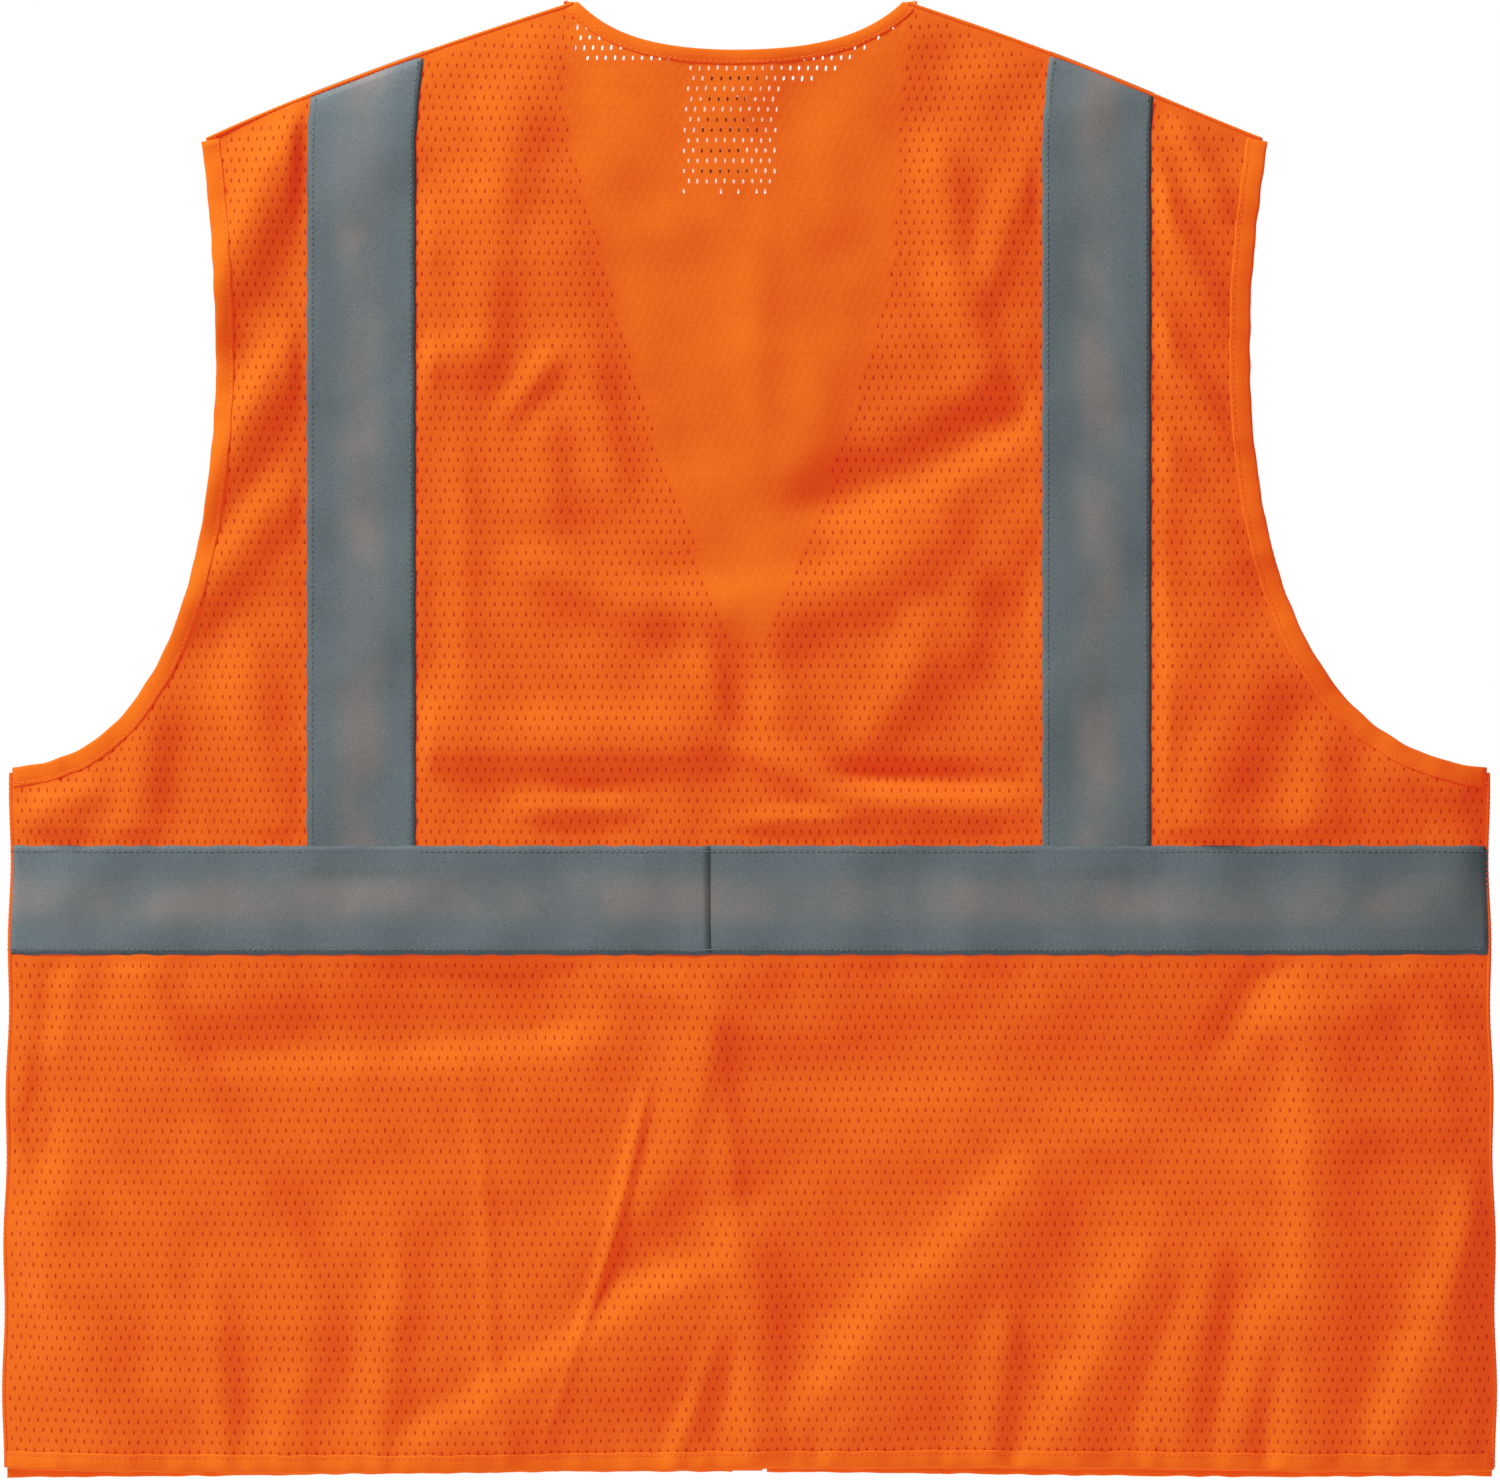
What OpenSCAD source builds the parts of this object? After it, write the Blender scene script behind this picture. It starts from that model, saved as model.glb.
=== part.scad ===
// High visibility vest: a sleeveless mesh body with a V neck, two reflective
// shoulder bands, a reflective waist band, bound edges, patch pockets and a
// separating zip up the front.
// X runs across the vest, -Y is the outside of the back, +Y is the outside of
// the fronts and +Z is up. The origin is midway between the neck points, at
// the height where the vest rests on the shoulders.
// Lengths are in millimetres.

/* [Body] */
// Width of the body from side to side
body_w = 692; // [680:2:704]
// Height from the neck points down to the back hem
back_h = 683; // [670:1:700]
// How far the fronts hang below the back
front_drop = 3; // [1:0.5:6]
// Space between the back and the fronts
cavity_d = 12; // [12:0.5:16]
// Thickness of the mesh cloth
cloth_t = 0.8; // [0.6:0.1:0.8]

/* [Neck, shoulders and armholes] */
// Half width of the neck opening at the shoulders
neck_x = 76; // [74:1:77]
// Depth of the back neck
back_neck_z = 23; // [20:1:26]
// Depth of the V neck
v_neck_z = 288; // [280:1:290]
// Half width across the shoulder tips
shoulder_x = 248; // [244:1:252]
// Fall of the shoulder tips below the neck points
shoulder_z = 65; // [60:1:70]
// Depth of the armholes below the neck points
armhole_z = 357; // [345:1:365]

/* [Front folds] */
// Distance of each front fold line from the centre line
fold_x = 77; // [77:1:80]
// Depth below the neck points at which the folds start
fold_top_z = 75; // [72:1:80]
// Half of the gap left between the two sides of a fold
fold_gap = 0.5; // [0.4:0.1:0.8]

/* [Reflective bands] */
// Width of the reflective tape
band_w = 50.8; // [48:0.2:54]
// Thickness of the reflective tape
band_t = 0.4; // [0.3:0.1:0.4]
// Distance of each shoulder band's middle from the centre line
shoulder_band_x = 171; // [168:1:174]
// Depth of the waist band's top edge below the neck points
waist_band_z = 393; // [388:1:400]
// Length of shoulder band that the waist band covers
band_lap = 12; // [6:1:20]
// Place of the waist band's join on the back
band_join_x = -17; // [-40:1:40]

/* [Edge bindings] */
// Width of the armhole binding
arm_bind_w = 8.6; // [7:0.2:10]
// Width of the neck binding
neck_bind_w = 6.3; // [5:0.1:8]
// Width of the hem binding
hem_bind_w = 8; // [6:0.5:9]
// Thickness of one layer of binding
bind_t = 0.6; // [0.4:0.1:0.6]

/* [Pockets] */
// Distance of the lower pockets' inner edges from the centre line
pocket_x = 120; // [116:1:124]
// Width of a lower pocket
pocket_w = 130; // [110:1:140]
// Depth of the lower pockets' mouths below the neck points
pocket_top_z = 480; // [470:1:490]
// Height of a lower pocket
pocket_h = 170; // [140:1:180]
// Distance of the pen pocket's inner edge from the centre line
pen_x = 88; // [88:1:90]
// Width of the pen pocket
pen_w = 54; // [46:1:54]
// Depth of the pen pocket's mouth below the neck points
pen_top_z = 190; // [180:1:200]
// Height of the pen pocket
pen_h = 140; // [120:1:150]
// Room between a pocket and the front behind it
pocket_room = 6; // [5:0.2:7]

/* [Label] */
// Width of the care label
label_w = 42.5; // [30:0.5:50]
// Height of the care label
label_h = 59; // [40:1:70]
// Thickness of the care label
label_t = 0.3; // [0.2:0.1:0.4]

/* [Zip] */
// Distance of the cloth edges from the centre line
zip_edge_x = 8; // [7.5:0.1:8]
// Width of one zip tape, without its coil
zip_tape_w = 12.4; // [11:0.2:14]
// Thickness of the zip tape
zip_tape_t = 0.5; // [0.4:0.1:0.5]
// Half of the gap between the open coils
coil_gap = 1.2; // [1.2:0.1:1.4]
// Width and thickness of one coil
coil_w = 2.4; // [2.2:0.1:2.4]
// Length of the slider
slider_l = 11; // [10:0.5:13]
// Half width of the slider
slider_x = 5.4; // [5.4:0.1:5.8]
// Length of the pull
pull_l = 24; // [20:1:25]
// Width of the pull
pull_w = 7; // [6:0.5:9]

/* [Hidden] */
$fn = 64;
orange = [0.93, 0.38, 0.10];
binding_orange = [0.95, 0.42, 0.12];
silver = [0.62, 0.66, 0.68];
satin_white = [0.93, 0.93, 0.91];
zip_orange = [0.90, 0.36, 0.12];
zip_metal = [0.75, 0.76, 0.78];

// Layers, as distances outside the cavity
cavity_r = cavity_d / 2;
band_d = cloth_t;
waist_band_d = cloth_t + 1.1 * band_t;
panel_y = cavity_r + cloth_t;

// Rounded sides and shoulders
side_x = body_w / 2;
side_round_x = side_x - panel_y;
shoulder_angle = atan(shoulder_z / (shoulder_x - neck_x));
seam_w = 9;
seam_t = 1.6;

// Extents that are larger than the vest
reach = 100;
span = 900;

// Hems
front_h = back_h + front_drop;

// Zip, worked out from its coil
coil_y = cavity_r - 0.2;
coil_x1 = coil_gap + coil_w;
slide_clear = 0.6;
plate_t = 1.2;
zip_top_z = -(v_neck_z + 5);
zip_bottom_z = -(front_h - hem_bind_w - 6);
box_h = 6;
stop_h = 4;
slider_z = zip_bottom_z + box_h + 0.4;
pin_z = slider_z + slider_l + 0.8;
pin_l = 12;
plate_y = coil_y + coil_w / 2 + slide_clear;
pivot_y = plate_y + plate_t + 1.6;
pivot_z = slider_z + slider_l / 2;
pin_r = 0.6;
pull_t = 1.2;

// Outline curves in the X-Z plane, each with its cloth on the right
function unit(v) = v / norm(v);
function bezier(p, t) = pow(1 - t, 3) * p[0] + 3 * t * pow(1 - t, 2) * p[1]
    + 3 * t * t * (1 - t) * p[2] + pow(t, 3) * p[3];
function curve(p, n) = [for (i = [0:n]) bezier(p, i / n)];
function last(path) = len(path) - 1;
function extended(path, d) = concat(
    [path[0] + d * unit(path[0] - path[1])], path,
    [path[last(path)] + d * unit(path[last(path)] - path[last(path) - 1])]);
function tangent(path, i) = unit(path[min(i + 1, last(path))] - path[max(i - 1, 0)]);
function inset(path, d) = [for (i = [0:last(path)])
    path[i] + d * [tangent(path, i).y, -tangent(path, i).x]];
function reversed(path) = [for (i = [last(path):-1:0]) path[i]];
function mirrored(path) = [for (p = reversed(path)) [-p.x, p.y]];
function tail(path) = [for (i = [1:last(path)]) path[i]];

neck_half = curve([[0, -back_neck_z], [0.55 * neck_x, -back_neck_z],
                   [0.82 * neck_x, -0.61 * back_neck_z], [neck_x, 0]], 12);
neck_path = extended(concat(mirrored(neck_half), tail(neck_half)), 12);
v_path = extended(curve([[zip_edge_x, -v_neck_z], [50, -0.66 * v_neck_z],
                         [neck_x + 4, -0.31 * v_neck_z], [neck_x, 0]], 16), 8);
arm_path = extended(curve([[shoulder_x, -shoulder_z], [shoulder_x - 20, -190],
                           [shoulder_x - 8, 7 - armhole_z],
                           [side_x - 1, -armhole_z]], 24), 12);

// A band of cloth between two insets of an outline curve
module strip(path, d0, d1) {
    polygon(concat(inset(path, d0), reversed(inset(path, d1))));
}

// The back's outline, trimmed back by d at its bound edges
module back_outline(d) {
    arm = inset(arm_path, d);
    polygon(concat(inset(neck_path, d), arm, [[span, -back_h + d], [-span, -back_h + d]],
                   mirrored(arm)));
}

// The right front's outline, trimmed back by d at its bound edges
module front_outline(d) {
    polygon(concat(inset(v_path, d), inset(arm_path, d),
                   [[span, -front_h + d], [zip_edge_x, -front_h + d]]));
}

// The part of a front that stays with the body, and the part that folds open
module fixed_zone() {
    polygon([[fold_x + fold_gap, -span], [span, -span], [span, reach], [0, reach],
             [0, -fold_top_z], [fold_x + fold_gap, -fold_top_z]]);
}
module flap_zone() {
    translate([0, -span]) square([fold_x - fold_gap, span - fold_top_z - 2 * fold_gap]);
}

// A level stretch between two depths below the neck points
module level(top, bottom, x0 = -span, x1 = span) {
    translate([x0, -bottom]) square([x1 - x0, bottom - top]);
}

// Flat shapes pushed through the back half or the front half of the body
module back_cut() {
    rotate([90, 0, 0]) linear_extrude(reach) children();
}
module front_cut() {
    translate([0, reach, 0]) rotate([90, 0, 0]) linear_extrude(reach) children();
}

// One shoulder slope with a rounded top
module shoulder_slope(r) {
    slope_l = 720;
    translate([neck_x, 0, 0]) rotate([0, shoulder_angle, 0])
        translate([-neck_x / cos(shoulder_angle), 0, -panel_y]) rotate([90, 0, 90])
            linear_extrude(slope_l) {
                circle(r);
                translate([-r, -span]) square([2 * r, span]);
            }
}

// The hanging body, with its surface d outside the cavity
module body_form(d) {
    r = cavity_r + d;
    intersection() {
        translate([0, 0, -span]) linear_extrude(span + reach) {
            square([2 * side_round_x, 2 * r], center = true);
            for (s = [-1, 1]) translate([s * side_round_x, 0]) circle(r);
        }
        union() {
            shoulder_slope(r);
            mirror([1, 0, 0]) shoulder_slope(r);
        }
    }
}

// A layer of the body between two distances outside the cavity
module layer(d0, d1) {
    difference() {
        body_form(d1);
        body_form(d0);
    }
}
module back_layer(d0, d1) {
    intersection() {
        layer(d0, d1);
        back_cut() children();
    }
}
module front_layer(d0, d1) {
    intersection() {
        layer(d0, d1);
        front_cut() children();
    }
}

// The wearer's right is +X
module left() {
    mirror([1, 0, 0]) children();
}

// ---- Mesh panels ----
module back_panel() {
    color(orange) back_layer(0, cloth_t) back_outline(bind_t);
}
module front_panel() {
    color(orange) front_layer(0, cloth_t) intersection() {
        front_outline(bind_t);
        fixed_zone();
    }
}
module front_flap() {
    color(orange) front_layer(0, cloth_t) intersection() {
        front_outline(bind_t);
        flap_zone();
    }
}

// ---- Seams: the allowances turned inside the body ----
module side_seam() {
    color(orange) intersection() {
        body_form(0);
        translate([side_x - cloth_t - seam_w, -seam_t / 2, -(back_h - hem_bind_w - 1)])
            cube([seam_w + 5, seam_t, back_h - hem_bind_w - armhole_z - arm_bind_w - 2]);
    }
}
module shoulder_seam() {
    color(orange) intersection() {
        body_form(0);
        translate([neck_x, 0, 0]) rotate([0, shoulder_angle, 0])
            translate([neck_bind_w + 3, -seam_t / 2, -cloth_t - seam_w])
                cube([(shoulder_x - neck_x) / cos(shoulder_angle) - arm_bind_w - neck_bind_w - 6,
                      seam_t, seam_w + 5]);
    }
}

// ---- Reflective bands ----
module shoulder_band() {
    bottom = waist_band_z + band_lap;
    x0 = shoulder_band_x - band_w / 2;
    color(silver) intersection() {
        layer(band_d, band_d + band_t);
        translate([x0, -reach, -bottom]) cube([band_w, 2 * reach, bottom + reach]);
    }
}
module waist_band_back(x0, x1) {
    back_layer(waist_band_d, waist_band_d + band_t)
        level(waist_band_z, waist_band_z + band_w, x0, x1);
}
module waist_band_front() {
    front_layer(waist_band_d, waist_band_d + band_t)
        level(waist_band_z, waist_band_z + band_w, fold_x + fold_gap, span);
}
module waist_band(join_x) {
    color(silver) {
        waist_band_back(join_x, span);
        waist_band_front();
    }
}
module waist_band_left() {
    left() waist_band(0.1 - band_join_x);
}
module waist_band_right() {
    waist_band(0.1 + band_join_x);
}
module waist_band_flap() {
    color(silver) front_layer(waist_band_d, waist_band_d + band_t)
        level(waist_band_z, waist_band_z + band_w, zip_edge_x, fold_x - fold_gap);
}

// ---- Bindings folded over the cut edges ----
module neck_binding() {
    color(binding_orange) difference() {
        union() {
            back_layer(-bind_t, cloth_t + bind_t) strip(neck_path, 0, neck_bind_w);
            for (s = [0, 1]) mirror([s, 0, 0])
                front_layer(-bind_t, cloth_t + bind_t) intersection() {
                    strip(v_path, 0, neck_bind_w);
                    fixed_zone();
                }
        }
        back_layer(0, cloth_t) back_outline(bind_t);
        for (s = [0, 1]) mirror([s, 0, 0])
            front_layer(0, cloth_t) front_outline(bind_t);
    }
}
module v_neck_binding() {
    color(binding_orange) difference() {
        front_layer(-bind_t, cloth_t + bind_t) intersection() {
            strip(v_path, 0, neck_bind_w);
            flap_zone();
            level(0, v_neck_z);
        }
        front_layer(0, cloth_t) front_outline(bind_t);
    }
}
module armhole_binding() {
    color(binding_orange) difference() {
        union() {
            back_layer(-bind_t, cloth_t + bind_t) strip(arm_path, 0, arm_bind_w);
            front_layer(-bind_t, cloth_t + bind_t) strip(arm_path, 0, arm_bind_w);
        }
        back_layer(0, cloth_t) back_outline(bind_t);
        front_layer(0, cloth_t) front_outline(bind_t);
    }
}
module hem_binding_back() {
    color(binding_orange) difference() {
        back_layer(-bind_t, cloth_t + bind_t) level(back_h - hem_bind_w, back_h);
        back_layer(0, cloth_t) back_outline(bind_t);
    }
}
module hem_binding_front() {
    color(binding_orange) difference() {
        front_layer(-bind_t, cloth_t + bind_t)
            level(front_h - hem_bind_w, front_h, fold_x + fold_gap, span);
        front_layer(0, cloth_t) front_outline(bind_t);
    }
}
module hem_binding_flap() {
    color(binding_orange) difference() {
        front_layer(-bind_t, cloth_t + bind_t)
            level(front_h - hem_bind_w, front_h, zip_edge_x, fold_x - fold_gap);
        front_layer(0, cloth_t) front_outline(bind_t);
    }
}

// ---- Label inside the back neck ----
module care_label() {
    color(satin_white)
        translate([-label_w / 2, -cavity_r, -(back_neck_z + neck_bind_w + 0.5 + label_h)])
            cube([label_w, label_t, label_h]);
}

// ---- Patch pockets, open at the top ----
module pocket(x0, top, w, h) {
    color(orange) translate([x0, panel_y, -top - h]) difference() {
        cube([w, pocket_room + cloth_t, h]);
        translate([cloth_t, -1, cloth_t]) cube([w - 2 * cloth_t, pocket_room + 1, h]);
    }
}
module pocket_binding(x0, top, w) {
    color(binding_orange)
        translate([x0, panel_y + pocket_room - bind_t, -top - hem_bind_w]) difference() {
            translate([cloth_t + 0.1, 0, 0])
                cube([w - 2 * cloth_t - 0.2, cloth_t + 2 * bind_t, hem_bind_w + bind_t]);
            translate([-1, bind_t, -1]) cube([w + 2, cloth_t, hem_bind_w + 1]);
        }
}
module lower_pocket() {
    pocket(pocket_x, pocket_top_z, pocket_w, pocket_h);
}
module lower_pocket_binding() {
    pocket_binding(pocket_x, pocket_top_z, pocket_w);
}
module pen_pocket() {
    left() pocket(pen_x, pen_top_z, pen_w, pen_h);
}
module pen_pocket_binding() {
    left() pocket_binding(pen_x, pen_top_z, pen_w);
}

// ---- Zip ----
module zip_tape(notch_z) {
    color(zip_orange)
        translate([0, cavity_r, 0]) rotate([90, 0, 0]) linear_extrude(zip_tape_t)
            difference() {
                translate([coil_x1, zip_bottom_z])
                    square([zip_tape_w, zip_top_z - zip_bottom_z]);
                if (notch_z > zip_bottom_z)
                    translate([0, zip_bottom_z - 1])
                        square([slider_x + 1, notch_z - zip_bottom_z + 1]);
            }
}
module zip_tape_left() {
    left() zip_tape(zip_bottom_z + box_h);
}
module zip_tape_right() {
    zip_tape(pin_z);
}
module zip_coil(bottom) {
    color(zip_orange)
        translate([coil_gap, coil_y - coil_w / 2, bottom])
            cube([coil_w, coil_w, zip_top_z - stop_h - bottom]);
}
module zip_coil_left() {
    left() zip_coil(zip_bottom_z + box_h);
}
module zip_coil_right() {
    zip_coil(pin_z + pin_l);
}
module zip_top_stop() {
    stop_w = coil_w + 1;
    color(zip_metal)
        translate([coil_gap, coil_y - coil_w / 2 - 1, zip_top_z - stop_h])
            difference() {
                cube([stop_w, coil_w + 2, stop_h]);
                translate([coil_w, coil_w / 2 + 1 - coil_y + cavity_r - zip_tape_t, -1])
                    cube([stop_w, zip_tape_t, stop_h + 2]);
            }
}
module zip_insertion_pin() {
    color(zip_metal)
        translate([coil_gap + 0.3, coil_y - coil_w / 2, pin_z])
            cube([coil_w - 0.3, coil_w, pin_l]);
}
module zip_retainer_box() {
    color(zip_metal)
        translate([-slider_x, coil_y - coil_w / 2 - slide_clear, zip_bottom_z]) difference() {
            cube([2 * slider_x, coil_w + 2 * slide_clear, box_h]);
            // Socket for the pin
            translate([slider_x + coil_gap - 0.3, slide_clear - 0.3, 1.5])
                cube([coil_w + 0.6, coil_w + 0.6, box_h]);
        }
}
module zip_slider() {
    plate = [2 * slider_x, plate_t, slider_l];
    channel_h = coil_w + 2 * slide_clear;
    flange_t = 1.2;
    flange_h = 1;
    ear_x = 1.7;
    color(zip_metal) {
        difference() {
            union() {
                // Front and back plates
                translate([-slider_x, plate_y, slider_z]) cube(plate);
                translate([-slider_x, plate_y - channel_h - plate_t, slider_z]) cube(plate);
                // Divider between the coils
                translate([-slide_clear, plate_y - channel_h - 0.5, slider_z + slider_l - 4])
                    cube([2 * slide_clear, channel_h + 1, 4]);
                // Flanges that hold the coils in
                for (s = [0, 1]) mirror([s, 0, 0])
                    for (y = [plate_y - flange_h, plate_y - channel_h - 0.1])
                        translate([slider_x - flange_t, y, slider_z])
                            cube([flange_t, flange_h + 0.1, slider_l]);
                // Ears that carry the pull
                for (s = [0, 1]) mirror([s, 0, 0])
                    translate([ear_x, plate_y + plate_t - 0.1, pivot_z - 1.8])
                        cube([1.2, pivot_y - plate_y - plate_t + 1.6, 3.6]);
            }
            translate([-slider_x, pivot_y, pivot_z]) rotate([0, 90, 0])
                cylinder(r = pin_r + 0.2, h = 2 * slider_x);
        }
    }
}
module zip_pull() {
    neck_w = 2.6;
    neck_l = 7;
    color(zip_metal) translate([0, pivot_y, pivot_z]) {
        translate([-3.2, 0, 0]) rotate([0, 90, 0]) cylinder(r = pin_r, h = 6.4);
        translate([-neck_w / 2, -pull_t / 2, -neck_l - 1])
            cube([neck_w, pull_t, neck_l + 1.6]);
        // Tab with round ends and a hole for a cord
        translate([0, pull_t / 2, 0]) rotate([90, 0, 0]) linear_extrude(pull_t)
            difference() {
                union() {
                    translate([-pull_w / 2, -pull_l + pull_w / 2])
                        square([pull_w, pull_l - neck_l - pull_w / 2]);
                    translate([0, -pull_l + pull_w / 2]) circle(d = pull_w);
                }
                translate([0, -pull_l + pull_w / 2]) circle(d = 3);
            }
    }
}

back_panel();
left() front_panel();  // front_panel_left
front_panel();  // front_panel_right
left() front_flap();  // front_flap_left
front_flap();  // front_flap_right
left() side_seam();  // side_seam_left
side_seam();  // side_seam_right
left() shoulder_seam();  // shoulder_seam_left
shoulder_seam();  // shoulder_seam_right
left() shoulder_band();  // shoulder_band_left
shoulder_band();  // shoulder_band_right
waist_band_left();
waist_band_right();
left() waist_band_flap();  // waist_band_flap_left
waist_band_flap();  // waist_band_flap_right
neck_binding();
left() v_neck_binding();  // v_neck_binding_left
v_neck_binding();  // v_neck_binding_right
left() armhole_binding();  // armhole_binding_left
armhole_binding();  // armhole_binding_right
hem_binding_back();
left() hem_binding_front();  // hem_binding_front_left
hem_binding_front();  // hem_binding_front_right
left() hem_binding_flap();  // hem_binding_flap_left
hem_binding_flap();  // hem_binding_flap_right
care_label();
left() lower_pocket();  // lower_pocket_left
lower_pocket();  // lower_pocket_right
left() lower_pocket_binding();  // lower_pocket_binding_left
lower_pocket_binding();  // lower_pocket_binding_right
pen_pocket();
pen_pocket_binding();
zip_tape_left();
zip_tape_right();
zip_coil_left();
zip_coil_right();
left() zip_top_stop();  // zip_top_stop_left
zip_top_stop();  // zip_top_stop_right
zip_insertion_pin();
zip_retainer_box();
zip_slider();
zip_pull();
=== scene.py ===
import math

import bmesh
import bpy
import numpy as np
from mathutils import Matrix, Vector


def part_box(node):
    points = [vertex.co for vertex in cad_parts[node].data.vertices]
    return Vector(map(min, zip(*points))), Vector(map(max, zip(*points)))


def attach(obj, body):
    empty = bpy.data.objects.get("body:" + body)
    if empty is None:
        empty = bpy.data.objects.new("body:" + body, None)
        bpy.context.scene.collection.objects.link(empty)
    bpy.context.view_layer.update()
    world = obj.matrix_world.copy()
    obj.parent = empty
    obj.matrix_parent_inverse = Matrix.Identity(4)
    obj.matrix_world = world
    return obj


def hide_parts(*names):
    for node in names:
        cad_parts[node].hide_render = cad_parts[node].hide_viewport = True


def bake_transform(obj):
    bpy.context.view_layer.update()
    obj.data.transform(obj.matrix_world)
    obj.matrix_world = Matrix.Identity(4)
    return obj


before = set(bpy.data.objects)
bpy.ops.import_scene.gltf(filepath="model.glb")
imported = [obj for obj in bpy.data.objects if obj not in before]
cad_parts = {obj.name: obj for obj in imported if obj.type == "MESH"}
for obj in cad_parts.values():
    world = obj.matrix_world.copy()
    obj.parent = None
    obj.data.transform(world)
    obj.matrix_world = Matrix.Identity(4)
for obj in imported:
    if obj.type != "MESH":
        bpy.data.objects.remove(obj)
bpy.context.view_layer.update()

# ---- dimensions
MM = 0.001
CM = 0.01
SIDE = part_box("back_panel")[1].x
BACK_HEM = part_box("hem_binding_back")[0].z
FRONT_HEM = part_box("hem_binding_front_right")[0].z
HEM_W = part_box("hem_binding_back")[1].z - BACK_HEM
WAIST_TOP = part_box("waist_band_right")[1].z
WAIST_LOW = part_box("waist_band_right")[0].z
BAND_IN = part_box("shoulder_band_right")[0].x
BAND_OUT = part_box("shoulder_band_right")[1].x
BAND_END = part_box("shoulder_band_right")[0].z
ZIP_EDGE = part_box("hem_binding_flap_right")[0].x
ZIP_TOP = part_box("zip_tape_right")[1].z
NECK_X = 0.076
NECK_Z = -0.023
V_Z = -0.288
SHOULDER_X = 0.248
SHOULDER_Z = -0.065
ARM_Z = -0.357
ARM_W = 8.6 * MM
NECK_W = 6.3 * MM
LAYER_Y = 6.4 * MM          # middle of the cloth from the vest's middle plane
BILLOW = 2.4 * MM           # how much further out the back hangs
SEAM_GAP = 0.5 * MM         # the same where the two layers are sewn together
PORE_X = 4.2 * MM           # pitch of the mesh's pores
PORE_Z = 4.8 * MM
STEP = 3 * MM               # along the paths that strips and stitches follow
SLOPE = SHOULDER_Z / (SHOULDER_X - NECK_X)
EYE = np.array([0.0002, -4.0, -0.3438])     # the camera
rng = np.random.default_rng(7)


# ---- small helpers
def smooth(a, b, v):
    t = np.clip((v - a) / (b - a), 0, 1)
    return t * t * (3 - 2 * t)


def bezier(a, b, c, d, n):
    t = np.linspace(0, 1, n + 1)[:, None]
    a, b, c, d = (np.array(p, float) for p in (a, b, c, d))
    return (1 - t) ** 3 * a + 3 * t * (1 - t) ** 2 * b + 3 * t * t * (1 - t) * c + t ** 3 * d


def tangents(path):
    t = np.gradient(path, axis=0)
    return t / np.linalg.norm(t, axis=1)[:, None]


def inward(path):
    """The unit normals on the cloth side, which is on the path's right."""
    t = tangents(path)
    return np.stack([t[:, 1], -t[:, 0]], 1)


def run_length(path):
    """How far along the path each of its points is."""
    return np.r_[0, np.cumsum(np.linalg.norm(np.diff(path, axis=0), axis=1))]


def resampled(path, step):
    """The same path with points step apart."""
    d = run_length(path)
    s = np.linspace(0, d[-1], max(2, int(round(d[-1] / step)) + 1))
    return np.stack([np.interp(s, d, path[:, k]) for k in range(path.shape[1])], 1)


def depth(path, p):
    """How far points lie on the cloth side of a path."""
    normal = inward(path)
    found = np.empty(len(p))
    for k in range(0, len(p), 4000):
        part = p[k:k + 4000]
        near = ((part[:, None] - path[None]) ** 2).sum(2).argmin(1)
        found[k:k + 4000] = ((part - path[near]) * normal[near]).sum(1)
    return found


def mirrored(path):
    """The other side's path, run so that its cloth stays on the right."""
    return (path * (-1, 1))[::-1]


NECK = bezier((0, NECK_Z), (0.55 * NECK_X, NECK_Z), (0.82 * NECK_X, 0.61 * NECK_Z),
              (NECK_X, 0), 60)
V_EDGE = bezier((ZIP_EDGE, V_Z), (0.050, 0.66 * V_Z), (NECK_X + 4 * MM, 0.31 * V_Z),
                (NECK_X, 0), 120)
ARM = bezier((SHOULDER_X, SHOULDER_Z), (SHOULDER_X - 0.020, -0.190),
             (SHOULDER_X - 0.008, ARM_Z + 0.007), (SIDE - MM, ARM_Z), 160)
NECK_ALL = np.vstack([mirrored(NECK)[:-1], NECK])


def shoulder_line(x):
    return SLOPE * (np.abs(x) - NECK_X)


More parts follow.
